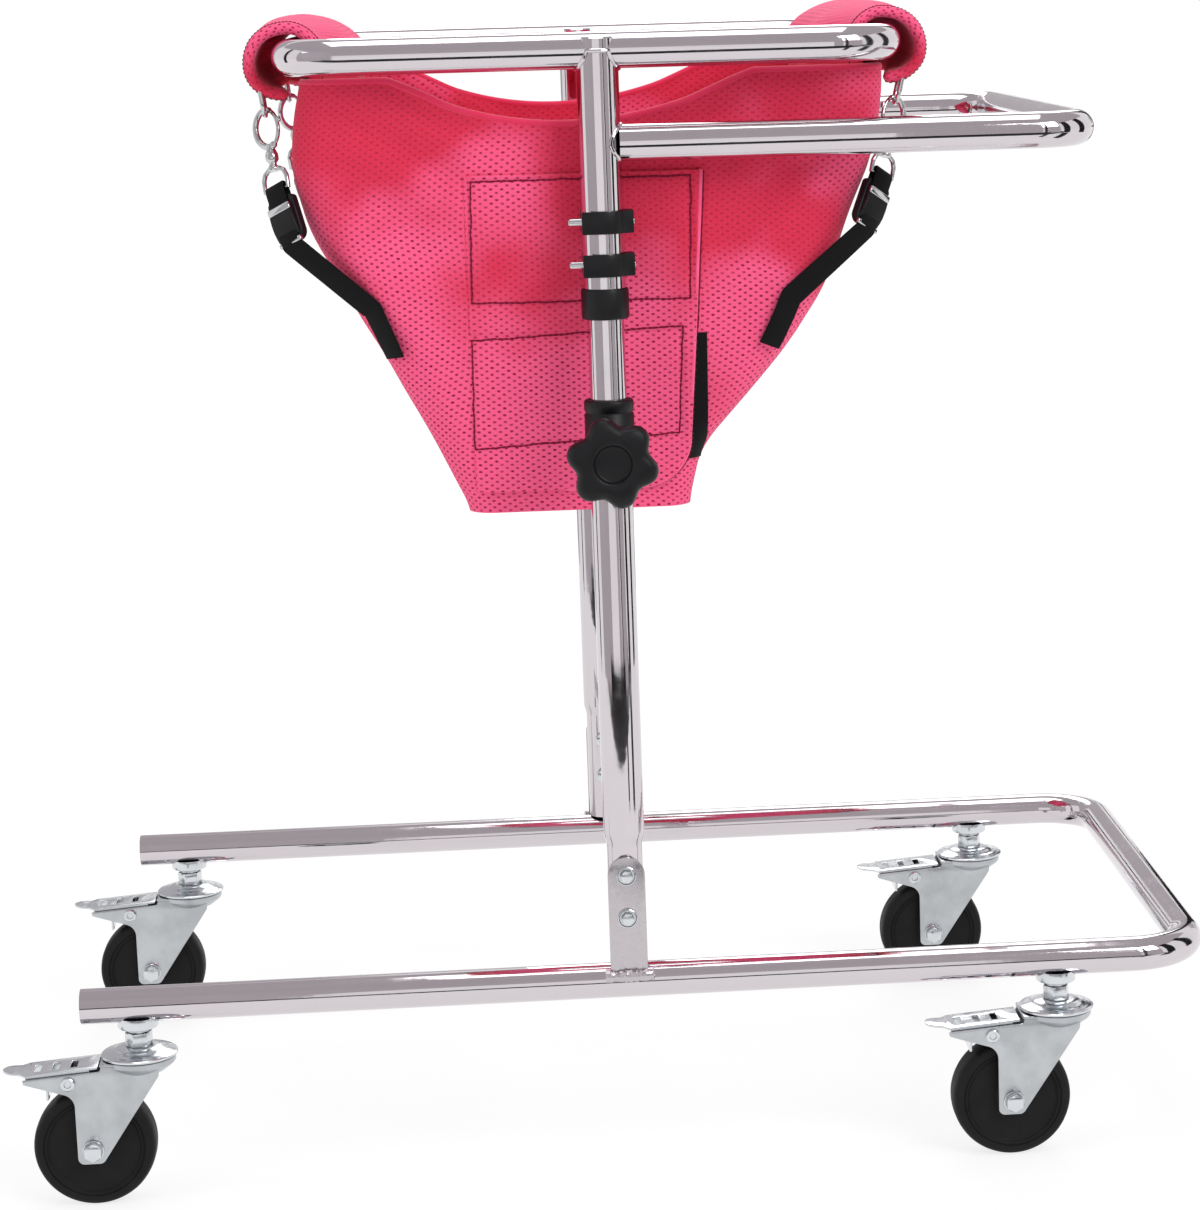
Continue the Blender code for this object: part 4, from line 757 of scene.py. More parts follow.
def build_brackets(s):
    """Flat bars with round tops, welded to the base and bolted to the uprights' feet."""
    half, sheet, steps = 11.5 * MM, 3 * MM, 24
    inner_y = -(s.radius + GAP)
    outer_y = inner_y - sheet
    foot_z = s.bracket_top - 75 * MM
    outline = [(-half, foot_z), (half, foot_z)] + arc((0, s.bracket_top - half), half, 0, 180, steps)
    plate = eased(extruded(outline, outer_y, inner_y, "Y"), 0.5 * MM, 2, 40)
    reach = half + 3 * MM
    weld = [(-reach + 2 * reach * i / steps, inner_y - sheet / 2 - 1.2 * MM * math.sin(math.pi * i / steps),
             foot_z - 0.5 * MM) for i in range(steps + 1)]
    foot = bead(weld, 4.0 * MM, seed=2.0)
    flange = turned(mm((0, 0), (6, 0), (6, 1.2), (5.5, 1.5), (5.1, 0.9), (4.2, 0.9), (0, 1)), 40, "Y")
    shank = turned(mm((0, 0), (3, 0), (3, 7), (2.4, 7.6), (0, 7.6)), 32, "Y")
    along_y = Matrix.Rotation(-math.pi / 2, 4, "X")
    head = placed(eased(extruded(hexagon(7 * MM, 10), 0.8 * MM, 4.2 * MM), 0.3 * MM), along_y)
    nut = placed(eased(extruded(hexagon(10 * MM, 25), 0, 4.8 * MM), 0.5 * MM), along_y)
    outwards = Matrix.Translation((0, outer_y, 0)) @ Matrix.Diagonal((1, -1, 1, 1))
    bolt = joined(placed(joined(flange, head), outwards), moved(joined(nut, shank), y=-inner_y))
    for side, place in mirrored(s.mast_x, s.half_track):
        show(f"{side}_foot_plate", joined(copied(plate, place), copied(foot, place)), "base", "flat_chrome",
             f"{side}_foot_bracket")
        for level, z in s.bolts.items():
            at_level = place @ Matrix.Translation((0, 0, z))
            show(f"{side}_{level}_flange_bolt", copied(bolt, at_level), "base", "bright_zinc",
                 f"{side}_{level}_foot_bolt")


# Height clamps, sleeves and snap clips

def star(radius, depth, count=120):
    """Outline of a six-lobed star: broad round lobes and narrow hollows."""
    points = []
    for i in range(count):
        angle = 2 * math.pi * i / count
        hollow = 0.5 - 0.5 * math.cos(6 * (angle - math.radians(45)))
        lobe = radius - 1.6 * depth * hollow ** 1.25
        points.append((lobe * math.cos(angle), lobe * math.sin(angle)))
    return points


def make_knob(s):
    """Six-lobed knob with a dished face, its back at y = 0 and its face towards -Y."""
    hollow = 3.4 * MM
    outline = star(s.knob, hollow)
    # Shares of the radius, the depth and the lobes' relief, from the middle of the back to that of the face
    levels = [(0.0, 0.0, 0.0), (0.74, 0.0, 0.3), (0.80, 0.03, 0.5), (0.90, 0.18, 0.9), (0.97, 0.34, 1.0),
              (1.0, 0.52, 1.0), (0.995, 0.68, 1.0), (0.965, 0.80, 1.0), (0.91, 0.90, 1.0), (0.84, 0.965, 0.9),
              (0.74, 0.995, 0.6), (0.64, 1.0, 0.25), (0.52, 0.998, 0.0), (0.475, 0.97, 0.0),
              (0.455, 0.90, 0.0), (0.44, 0.84, 0.0), (0.40, 0.815, 0.0), (0.0, 0.81, 0.0)]

    def place(u, v):
        share, y, lobed = levels[round(v * (len(levels) - 1))]
        x, z = outline[round(u * len(outline)) % len(outline)]
        scale = share * (lobed + (1 - lobed) * (s.knob - hollow) / math.hypot(x, z))
        return Vector((x * scale, -y * s.knob_depth, z * scale))

    body = surface(len(outline), len(levels) - 1, place)
    bmesh.ops.recalc_face_normals(body, faces=body.faces)
    return joined(body, turned(mm((0, -1), (4, -1), (4, 20), (0, 20)), 32, "Y"))


def build_clamps(s):
    """Collars with a boss for the star knob, and the upper tubes' end sleeves."""
    half = 15 * MM
    bore, socket = s.radius + GAP, s.outer + GAP
    bottom, top = s.collar_top - s.collar, s.collar_top
    boss_reach = 7 * MM
    collar = [(socket, bottom)] + mm((-1.6, 0), (-0.6, 0.5), (0, 1.8), x=half, y=bottom)
    collar += mm((0, -9), (-0.7, -8.4), (-0.7, -7.2), (0, -6.6), (0, -1.6), (-0.5, -0.5), (-1.6, 0),
                 x=half, y=top)
    collar += [(bore, top), (bore, s.lower_top + GAP), (socket, s.lower_top + GAP)]
    boss = turned(mm((0, 0), (9.5, 0), (9.5, 7), (8.6, 8), (0, 8)), 48, "Y")
    boss = placed(boss, Matrix.Translation((0, -half + 1 * MM, s.knob_z)) @ Matrix.Diagonal((1, -1, 1, 1)))
    knob = moved(make_knob(s), y=-(half + boss_reach + GAP), z=s.knob_z)
    round_half = 14.4 * MM
    sleeve_top, floor = s.sleeve_z + s.sleeve, s.sleeve_z + SLEEVE_LIP
    sleeve = [(bore, s.sleeve_z)] + mm((-1.4, 0), (-0.4, 0.4), (0, 1.4), x=round_half, y=s.sleeve_z)
    sleeve += mm((0, -1.2), (-0.4, -0.3), (-1.1, 0), x=round_half, y=sleeve_top)
    sleeve += [(socket, sleeve_top), (socket, floor), (bore, floor)]
    for side, place in mirrored(s.mast_x, s.half_track):
        clamp = joined(copied(turned(collar, 96), place), copied(boss, place))
        show(f"{side}_collar", clamp, "base", "plastic", f"{side}_clamp_collar", smooth=50)
        show(f"{side}_knob_star", copied(knob, place), f"{side}_knob", "plastic", f"{side}_star_knob",
             smooth=60)
        show(f"{side}_sleeve", copied(turned(sleeve, 96), place), "mast", "plastic", f"{side}_end_sleeve",
             smooth=50)


def build_clips(s):
    """Springy black U clips with a squared lug in front, and the steel pins that they hold."""
    inner = s.outer + GAP
    outer = inner + 2.1 * MM
    lug_x = outer + 3.5 * MM
    lug_half = outer * 0.42
    start = math.degrees(math.asin(lug_half * 1.35 / outer))
    outline = [(-s.outer, inner)] + arc((0, 0), inner, 90, -90, 36) + [(-s.outer, -inner), (-s.outer, -outer)]
    outline += arc((0, 0), outer, -90, -start, 18) + [(lug_x, -lug_half), (lug_x, lug_half)]
    outline += arc((0, 0), outer, start, 90, 18) + [(-s.outer, outer)]
    clip = eased(extruded(outline, -s.clip / 2, s.clip / 2), 0.5 * MM, 2, 40)
    radius = s.pin / 2
    tip = -s.outer - 8 * MM
    head = lug_x + 0.2 * MM
    pin = turned([(0, tip), (radius * 0.5, tip), (radius * 0.9, tip + 0.5 * MM), (radius, tip + 1.4 * MM),
                  (radius, head), (radius * 0.8, head + 0.6 * MM), (0, head + 0.8 * MM)], 32, "X")
    for side, sign in SIDES.items():
        for level, z in s.pins.items():
            place = Matrix.Translation((s.mast_x, sign * s.half_track, z))
            name = f"{side}_{level}"
            body = f"{name}_clip_pin"
            show(f"{name}_snap_clip", copied(clip, place), body, "plastic", f"{name}_clip")
            show(f"{name}_steel_pin", copied(pin, place), body, "nickel", f"{name}_pin", smooth=50)


# Casters, about the stem's axis with the wheel trailing behind

def make_stem(s):
    """Weld saddle, hexagon nut and stepped bearing cap on the kingpin."""
    top = s.saddle_z + SADDLE_HEIGHT + s.radius * 0.3
    flange = s.fork_z - BOWL_DEPTH - GAP
    shank = 0.5 * s.nut - 1 * MM
    profile = mm((0, -3), (8, -3), (8, 0), (4, 0), y=flange) + [(4 * MM, s.cap_z)]
    profile += mm((-0.8, 0), (0, 0.5), (0, 1.6), (-0.6, 2.1), x=s.cap, y=s.cap_z)
    profile += [(s.cap * share, s.cap_z + rise * MM) for share, rise in (
        (0.90, 2.3), (0.86, 2.8), (0.80, 3.2), (0.72, 3.5), (0.64, 4.6), (0.58, 5.4), (0.48, 5.8))]
    profile += [(s.cap * 0.42, s.nut_z), (shank, s.nut_z), (shank, s.saddle_z)]
    profile += mm((10.6, 0), (12.1, 0.6), (12.5, 1.6), y=s.saddle_z) + [(11.6 * MM, top), (0, top)]
    nut = eased(extruded(hexagon(s.nut, 12), s.nut_z - GAP, s.nut_z + s.nut_height), 0.7 * MM)
    return joined(turned(profile, 80), nut)


def cheek_outline(s):
    """Side of the fork: straight front edge, blunt foot, hollow rear edge and the pedal's horn."""
    foot_z = s.axle_z - 8.8 * MM
    back_x = -s.trail - 9.7 * MM
    hollow = 9 * MM
    outline = mm((0, -2), (-1, -9.5), x=FORK_NOSE, y=s.fork_z)
    outline += arc((-s.trail + 3.4 * MM, foot_z + 4.5 * MM), 4.5 * MM, -30, -90, 6)
    outline += arc((back_x + 4 * MM, foot_z + 4 * MM), 4 * MM, -90, -180, 6)
    outline += arc((back_x - hollow, s.axle_z + 28 * MM), hollow, 0, 80, 12)
    horn = mm((-70, -10.8), (-70.5, -8.3), y=s.fork_z)
    return outline + horn + mm((0, -4.8), (1, -2), x=-s.cap, y=s.fork_z)


def make_fork(s):
    """Pressed fork: two cheeks with eased edges, crown plate and race bowl."""
    outline = cheek_outline(s)
    cheeks = [eased(extruded(outline, low, high, "Y"), 0.45 * MM, 2, 35)
              for low, high in ((-s.cheek_out, -s.cheek_in), (s.cheek_in, s.cheek_out))]
    plate = rounded_box((-s.cap, -s.cheek_out, s.fork_z - s.fork_sheet),
                        (FORK_NOSE, s.cheek_out, s.fork_z - GAP), 1.1 * MM)
    bowl = turned(mm((0, -9.5), (13, -9.5), (15.5, -9), (20.8, -5), (22, -3.4), (22, -0.6), (21.4, 0), (0, 0),
                     y=s.fork_z), 80)
    return joined(*cheeks, plate, bowl)


def make_axle(s):
    """Hexagon bolt with a domed head on the right, nut and thread end on the left, about the Y axis."""
    face = s.cheek_out + GAP
    shank = turned(mm((0, -2.5), (4, -2.5), y=-face) + mm((4, 6), (3.4, 6.5), (0, 6.5), y=face), 32, "Y")
    head, nut = (eased(extruded(hexagon(flats * MM, turn), face, face + 5 * MM, "Y"), 0.6 * MM)
                 for flats, turn in ((10.6, 30), (12, 10)))
    washer = turned(mm((0, 0), (6.6, 0), (6.6, 0.7), (6.3, 1), (0, 1)), 40, "Y")
    head = placed(joined(head, moved(washer, y=face - 0.2 * MM)), Matrix.Diagonal((1, -1, 1, 1)))
    return joined(shank, head, nut)


def make_wheel(s):
    """Tyre with a rounded tread and a thin moulded ring on each side, about the Y axis."""
    half = s.wheel_width / 2
    side = [(4.3 * MM, half)] + [(share * s.wheel / 2, half - drop * MM) for share, drop in (
        (0.24, 0), (0.26, 0.5), (0.30, 2.5), (0.72, 2.5), (0.755, 2.0), (0.77, 0.5), (0.78, 0.3), (0.80, 0.3),
        (0.81, 0.9), (0.825, 0.9), (0.835, 0.3), (0.90, 0.5), (0.945, 1.2), (0.975, 2.6), (0.993, 5), (1, 8))]
    return turned(side + [(radius, -y) for radius, y in reversed(side)], 120, "Y")


def make_pedal(s):
    """Brake pedal about its rivet: slotted tread plate, flanges, shoe, rivet and a rounded tongue."""
    half = s.cheek_in - GAP
    sheet = 1.6 * MM
    front = s.pivot_back - s.cap - 1.5 * MM
    back = s.pivot_back - 70 * MM
    tip = s.pivot_back - s.pedal_reach
    slope = 3.5 * MM / (front - back)

    def plate_z(x):
        """Underside of the tread plate, whose tongue turns up."""
        low = s.pivot_drop - 4.1 * MM - slope * (front - max(x, back))
        return low + (0.07 * (back - x) if x < back else 0)

    tongue, corner = 8.5 * MM, 1.5 * MM
    plan = [(front, -half), (front, half), (back + corner, half)]
    plan += arc((back + corner, half - corner), corner, 90, 160, 4) + [(back - 3 * MM, tongue + 0.6 * MM)]
    plan += arc((tip + tongue, 0), tongue, 90, 270, 20) + [(back - 3 * MM, -tongue - 0.6 * MM)]
    plan += arc((back + corner, -half + corner), corner, 200, 270, 4)
    slots = []
    for i in range(3):
        x = back + (0.12 + 0.25 * i) * (front - back)
        slots.append(extruded([(x, -0.5 * half), (x + 4 * MM, -0.5 * half), (x + 4 * MM, 0.5 * half),
                               (x, 0.5 * half)], -sheet, 2 * sheet))
    plate = eased(carved(extruded(plan, 0, sheet), *slots), 0.4 * MM, 2, 50)
    for vert in plate.verts:
        vert.co.z += plate_z(vert.co.x)
    flange = 5 * MM
    lip = [(front - flange, plate_z(front - flange) + sheet / 2), (back + 1 * MM, plate_z(back) + sheet / 2),
           (back + 1 * MM, plate_z(back) - flange / 2), (back + flange, plate_z(back) - flange)]
    lip += arc((0, 0), flange, 200, 340, 12) + [(front - flange, plate_z(front - flange) - flange)]
    flanges = [eased(extruded(lip, low, high, "Y"), 0.3 * MM, 1, 50)
               for low, high in ((-half, sheet - half), (half - sheet, half))]
    shoe_x = -12.5 * MM
    wheel_x = s.pivot_back - shoe_x - s.trail
    tyre_z = s.axle_z + math.sqrt((s.wheel / 2) ** 2 - wheel_x ** 2) - (s.fork_z - s.pivot_drop)
    shoe = rounded_box((shoe_x - sheet, -half + 1 * MM, tyre_z + 5 * MM),
                       (shoe_x, half - 1 * MM, plate_z(shoe_x)), 0.3 * MM, 1)
    rim = mm((0, 0), (4.3, 0), (4.3, 0.9), (3.7, 1.4), (2.3, 1.4), (1.9, 0.7), (0, 0.6))
    heads = [placed(turned(rim, 40, "Y"), Matrix.Diagonal((1, sign, 1, 1))
                    @ Matrix.Translation((0, s.cheek_out + GAP, 0))) for sign in (1, -1)]
    reach = s.cheek_out
    shank = turned([(0, -reach), (3 * MM, -reach), (3 * MM, reach), (0, reach)], 24, "Y")
    return joined(plate, *flanges, shoe, shank, *heads)


def build_casters(s):
    stem, fork, axle, wheel, pedal = make_stem(s), make_fork(s), make_axle(s), make_wheel(s), make_pedal(s)
    for end, x in s.stems.items():
        for side, sign in SIDES.items():
            name = f"{end}_{side}"
            y = sign * s.half_track
            at_stem = Matrix.Translation((x, y, 0))
            at_axle = Matrix.Translation((x - s.trail, y, s.axle_z))
            at_pivot = Matrix.Translation((x - s.pivot_back, y, s.fork_z - s.pivot_drop))
            show(f"{name}_stem", copied(stem, at_stem), "base", "bright_zinc", f"{name}_caster_stem")
            show(f"{name}_pressed_fork", copied(fork, at_stem), f"{name}_caster", "zinc", f"{name}_fork")
            show(f"{name}_axle", copied(axle, at_axle), f"{name}_caster", "bright_zinc", f"{name}_axle_bolt")
            show(f"{name}_tyre", copied(wheel, at_axle), f"{name}_rolling_wheel", "rubber", f"{name}_wheel",
                 smooth=50)
            show(f"{name}_pedal_plate", copied(pedal, at_pivot), f"{name}_pedal", "bright_zinc",
                 f"{name}_brake_pedal")


# Seat

def sling_levels(s):
    """(height, rear x, front x, half width, corner) of the sling from the leg hems up."""
    rear, front = s.ring_x - s.ring_length / 2, s.ring_x + s.ring_length / 2
    half = s.half_track - s.inset
    shares = ((1.00, 0.282, 0.350, 0.238, 0.70), (0.87, 0.237, 0.329, 0.178, 0.80),
              (0.63, 0.155, 0.182, 0.083, 1.0), (0.50, 0.103, 0.121, 0.042, 1.15),
              (0.34, 0.042, 0.084, 0.012, 1.15), (0.20, 0.018, 0.042, 0.0, 1.10),
              (0.08, 0.026, 0.026, 0.0, 1.0), (0.0, 0.040, 0.024, 0.0, 1.0))
    return [(s.panel_top - drop * s.depth, rear + back * s.ring_length, front - ahead * s.ring_length,
             half * (1 - narrow), corner * s.corner) for drop, back, ahead, narrow, corner in shares]


def straight_size(s, z):
    levels = sling_levels(s)
    z = min(max(z, levels[0][0]), levels[-1][0])
    low, high = next((a, b) for a, b in zip(levels, levels[1:]) if z <= b[0] + 1e-9)
    share = (z - low[0]) / (high[0] - low[0])
    return [a + share * (b - a) for a, b in zip(low[1:], high[1:])]


def sling_size(s, z):
    """Rear x, front x, half width and corner of the sling at a height, eased from level to level."""
    sizes = [straight_size(s, z + i * 5 * MM) for i in (-2, -1, 0, 1, 2)]
    return [sum(values) / len(values) for values in zip(*sizes)]


SPANS = (28, 16, 56, 16, 28)    # columns on half the rear, a corner, a side, a corner, half the front


def around(share, rear, front, half, corner):
    """Place in plan round the sling from the rear's middle over the right, its outward normal, and the run
    from the middle of its panel."""
    mirror = share > 0.5
    spot = (1 - share if mirror else share) * 2 * sum(SPANS)
    ends = [sum(SPANS[:i]) for i in range(len(SPANS) + 1)]
    k = next(i for i in range(5) if spot <= ends[i + 1] + 1e-6)
    t = (spot - ends[k]) / SPANS[k]
    side, bend = (front - rear) / 2 - corner, math.pi * corner / 2
    flat = half - corner
    if k == 0:
        x, y, normal, run = rear, -t ** 1.5 * flat, Vector((-1, 0, 0)), t ** 1.5 * flat
    elif k in (1, 3):
        angle = math.radians(180 + 90 * t if k == 1 else 270 + 90 * t)
        normal = Vector((math.cos(angle), math.sin(angle), 0))
        x = (rear + corner if k == 1 else front - corner) + corner * normal.x
        y = -half + corner + corner * normal.y
        run = -side - bend * (1 - t) if k == 1 else side + bend * t
    elif k == 2:
        x, y, normal, run = rear + corner + 2 * t * side, -half, Vector((0, -1, 0)), (2 * t - 1) * side
    else:
        run = -(1 - t) ** 1.5 * flat
        x, y, normal = front, run, Vector((1, 0, 0))
    if mirror:
        y, normal.y = -y, -normal.y
    return Vector((x, y, 0)), normal, run


def rim_height(s, x, y):
    """Top edge of the sling: a dip in each side panel."""
    reach = abs(x - s.mast_x + s.scoop_setback) / (s.scoop_span / 2)
    dip = s.scoop_depth * (1 - min(reach, 1) ** 2) * (1 - 0.25 * smooth_step(0.6, 1.0, reach))
    return s.panel_top - dip * smooth_step(0.8, 0.97, abs(y) / (s.half_track - s.inset))


def leg_height(s, y):
    """Lower edge of the sling: the hems, and the arch between the legs at the front and rear."""
    half = s.crotch_width / 2
    if abs(y) >= half:
        return s.hem_z
    return s.hem_z + s.arch * math.sqrt(1 - (y / half) ** 2)


def ripple(place, size, seed=0.0):
    """Slow unevenness of hanging cloth, from -1 to 1."""
    return noise.noise(Vector(place) / size + Vector((seed, seed, seed)))


# Lines (x, z) to (x, z), half width and depth, all in mm
FOLDS = (((-150, 668), (-60, 610), 10, 2.6), ((-158, 640), (-80, 560), 13, 2.4),
         ((-118, 676), (-40, 640), 7, 1.8), ((150, 650), (72, 560), 14, 3.0),
         ((158, 612), (80, 520), 11, 2.0), ((100, 668), (40, 634), 8, 1.6),
         ((-120, 540), (-84, 440), 9, 1.4))


def folded(x, z):
    """Depth of the drag lines that run from the corners the sling hangs by."""
    depth = 0.0
    for (x0, z0), (x1, z1), half, sink in FOLDS:
        a, b, p = Vector((x0, z0)) * MM, Vector((x1, z1)) * MM, Vector((x, z))
        t = (p - a).dot(b - a) / (b - a).length_squared
        off = (p - a - (b - a) * t).length / (half * MM)
        ends = smooth_step(-0.15, 0.2, t) * (1 - smooth_step(0.75, 1.15, t))
        depth += 1.5 * sink * MM * math.exp(-off * off) * ends
    return depth


def sunk(s, x, y, z):
    """How far the cloth lies inside the sling's outline."""
    side = smooth_step(0.55, 0.9, abs(y) / sling_size(s, z)[2])
    return 0.5 * MM + 0.8 * MM * (1 + ripple((x, y, z), 40 * MM)) + side * folded(x, z)


def panel_y(s, x, z):
    """Outer face of the right side panel at a place, where the flap and the hook strip lie on it."""
    rear, front, half, corner = sling_size(s, z)
    y = half
    for centre, sign in ((front - corner, 1), (rear + corner, -1)):
        past = min(max(sign * (x - centre), 0), 0.96 * corner)
        y -= corner - math.sqrt(corner ** 2 - past ** 2)
    return -(y - sunk(s, x, -y, z))


def make_shell(s):
    """Outer cloth of the sling from the leg hems to the top edge."""
    def spot_at(u, v):
        rim, _, _ = around(u, *sling_size(s, s.panel_top))
        foot, _, _ = around(u, *sling_size(s, s.hem_z))
        low = leg_height(s, foot.y)
        z = low + v * (rim_height(s, rim.x, rim.y) - low)
        spot, normal, run = around(u, *sling_size(s, z))
        return spot, normal, run, z

    def place(u, v):
        spot, normal, _, z = spot_at(u, v)
        spot -= sunk(s, spot.x, spot.y, z) * normal
        spot.z = z
        return spot

    def flat(u, v):
        _, _, run, z = spot_at(u, v)
        return run, z

    shell = surface(2 * sum(SPANS), 104, place, flat)
    shell = facing(shell, (s.ring_x, 0, 0.5 * (s.hem_z + s.panel_top)))
    return eased(walled(shell, s.cloth), 0.8 * MM, 2, 60)


def make_rim(s):
    """Rolled hem along the sling's top edge."""
    path = []
    count = 4 * sum(SPANS)
    for i in range(count):
        rim = around(i / count, *sling_size(s, s.panel_top))[0]
        z = rim_height(s, rim.x, rim.y)
        spot, normal, _ = around(i / count, *sling_size(s, z))
        spot -= (sunk(s, spot.x, spot.y, z) + s.cloth / 2) * normal
        path.append((spot.x, spot.y, z - 1.2 * MM))
    return swept(path, 2.3 * MM, cyclic=True, resolution=4)


GUSSET_INSET = 3 * MM           # gusset's ends inside the sling's outline
GUSSET_THICK = 2.6 * MM
GUSSET_CLOTH = (0.11, 0.17)     # width and length in m of its pattern laid out


def make_gusset(s):
    """Cloth arch between the two leg openings, from the rear to the front."""
    half = s.crotch_width / 2
    width, run = GUSSET_CLOTH

    def place(u, v):
        turn = math.pi * u
        z = s.hem_z + s.arch * math.sin(turn)
        rear, front = sling_size(s, z)[:2]
        x = rear + GUSSET_INSET + v * (front - rear - 2 * GUSSET_INSET)
        return Vector((x, -half * math.cos(turn), z))

    arch = surface(40, 60, place, lambda u, v: (width * u, run * v))
    return walled(facing(arch, (s.ring_x, 0, s.hem_z)), -GUSSET_THICK)


def cross_tube_x(s, end):
    return s.ring_x + end * (s.ring_length - s.tube) / 2


# Middle line of a wrap about its tube in mm, inner side first: at its side edges, and in its middle
WRAP_EDGE = ((12.5, -17), (16.5, -6), (16, 4), (11, 12), (3, 16.8), (-6, 17), (-15, 14), (-22, 7), (-25, -3),
             (-22.5, -13), (-13.5, -20.5), (-1.5, -22.5))
WRAP_MIDDLE = ((27, -27), (35, -14), (37, -2), (32, 7), (22, 14), (10, 18.5), (-4, 20.3), (-16, 17), (-24, 7),
               (-25.5, -5), (-20.5, -15), (-11, -20))


def wrap_line(s, end, y):
    """Middle line of a wrap at one place across it: tight at the side edges, fuller in the middle."""
    rear, front = straight_size(s, s.panel_top)[:2]
    panel = end * (cross_tube_x(s, end) - (front if end > 0 else rear)) + 4 * MM
    share = smooth_step(0.02, 0.55, 1 - abs(y) / s.wrap_half)
    line = [Vector((panel, -30 * MM))]
    for edge, middle in zip(WRAP_EDGE, WRAP_MIDDLE):
        line.append(Vector(edge).lerp(Vector(middle), share) * MM)
    return line


def stitched(path, radius, dip, stitch, cyclic=False):
    """Sewing thread along a path: a cord that narrows where the needle went through."""
    radii = [1 - dip + dip * math.sin(2 * math.pi * i / stitch) for i in range(len(path))]
    return swept(path, radius, cyclic=cyclic, resolution=1, radii=radii)


STATIONS = 96                   # on a wrap's middle line, from its inner to its outer end
WRAP_RUN = 140 * MM             # length of a wrap's pattern laid out
BLUNT_REACH = 6 * MM            # of the rounding along a wrap's edges
BLUNT_POWER = 2.6               # squareness of that rounding, where 2 is a circle's
SEAM_POINTS = 400               # on the middle line that a wrap's thread follows
SEAM_START = 40                 # first of these that the thread takes


def make_wrap(s, end):
    """Padded end of the sling, over one cross tube of the ring and down outside it."""
    lines = {}

    def line_at(y):
        key = round(y, 6)
        if key not in lines:
            stations = [spline_point(wrap_line(s, end, y), i / STATIONS) for i in range(STATIONS + 1)]
            lengths = [0.0]
            for a, b in zip(stations, stations[1:]):
                lengths.append(lengths[-1] + (b - a).length)
            lines[key] = stations, lengths
        return lines[key]

    def blunt(distance):
        t = min(max(distance / BLUNT_REACH, 0), 1)
        return (1 - (1 - t) ** BLUNT_POWER) ** (1 / BLUNT_POWER)

    def split(u):
        return (1, 2 * u) if 2 * u <= 1 else (-1, 2 - 2 * u)

    def place(u, v):
        side, run = split(u)
        y = s.wrap_half * (2 * v - 1)
        stations, lengths = line_at(y)
        i = min(int(run * STATIONS), STATIONS - 1)
        part = run * STATIONS - i
        heading = (stations[min(i + 2, STATIONS)] - stations[max(i - 1, 0)]).normalized()
        along = lengths[i] + (lengths[i + 1] - lengths[i]) * part
        thick = s.wrap_thick / 2 * blunt(s.wrap_half - abs(y)) * blunt(min(along, lengths[-1] - along))
        spot = stations[i].lerp(stations[i + 1], part) + Vector((heading.y, -heading.x)) * (side * thick)
        return Vector((cross_tube_x(s, end) - end * spot.x, y, s.ring_z + spot.y))

    def flat(u, v):
        side, run = split(u)
        return side * run * WRAP_RUN, s.wrap_half * (2 * v - 1)

    wrap = surface(96, 76, place, flat)
    bmesh.ops.recalc_face_normals(wrap, faces=wrap.faces)
    return puffed(wrap, end)


def make_wrap_seams(s, end, wrap):
    """Thread lines along both side edges of a wrap, laid on its finished outer face."""
    tree = BVHTree.FromBMesh(wrap)
    cords = []
    for sign in (-1, 1):
        y = sign * (s.wrap_half - 8 * MM)
        line = [spline_point(wrap_line(s, end, y), i / SEAM_POINTS)
                for i in range(SEAM_START, SEAM_POINTS + 1)]
        path = []
        for before, here, after in zip(line, line[1:], line[2:]):
            heading = (after - before).normalized()
            towards = Vector((-end * heading.y, 0, -heading.x))
            spot = Vector((cross_tube_x(s, end) - end * here.x, y, s.ring_z + here.y))
            hit = tree.ray_cast(spot + 12 * MM * towards, -towards, 14 * MM)[0]
            if hit:
                path.append(hit + 0.1 * MM * towards)
        cords.append(stitched(path, 0.75 * MM, 0.35, 7))
    return joined(*cords)


PUFF_FRAMES = 14
FILLING = {"quality": 6, "mass": 0.25, "tension_stiffness": 20, "compression_stiffness": 12,
           "shear_stiffness": 8, "bending_stiffness": 0.3, "use_pressure": True, "uniform_pressure_force": 4}


def puffed(bm, end):
    """Pressure simulation of the filling, held at the hems; the movement is capped and the mesh subdivided
    once."""
    holder = holder_of(mesh_of(bm))
    before = [v.co.copy() for v in holder.data.vertices]
    scene = bpy.context.scene
    cloth = holder.modifiers.new("filling", "CLOTH")
    for key, value in FILLING.items():
        setattr(cloth.settings, key, value)
    cloth.settings.effector_weights.gravity = 0
    cloth.collision_settings.use_collision = False
    held = holder.vertex_groups.new(name="held")
    rim = max(abs(co.y) for co in before) - 4 * MM
    held.add([i for i, co in enumerate(before) if abs(co.y) > rim], 1.0, "REPLACE")
    cloth.settings.vertex_group_mass = "held"
    cloth.point_cache.frame_start = 1
    cloth.point_cache.frame_end = PUFF_FRAMES
    for moment in range(1, PUFF_FRAMES + 1):
        scene.frame_set(moment)
        bpy.context.view_layer.update()
    after = bmesh_of(baked(holder))
    scene.frame_set(1)
    cap = 2.2 * MM
    for vert, old in zip(after.verts, before):
        move = vert.co - old
        if move.length > cap:
            move *= cap / move.length
        wave = 0.5 * MM * ripple(old, 26 * MM, end * 3.0)
        vert.co = old + move + wave * vert.normal
    bmesh.ops.subdivide_edges(after, edges=after.edges, cuts=1, use_grid_fill=True, smooth=0)
    for _ in range(2):
        bmesh.ops.smooth_vert(after, verts=after.verts, factor=0.5, use_axis_x=True, use_axis_y=True,
                              use_axis_z=True)
    return after


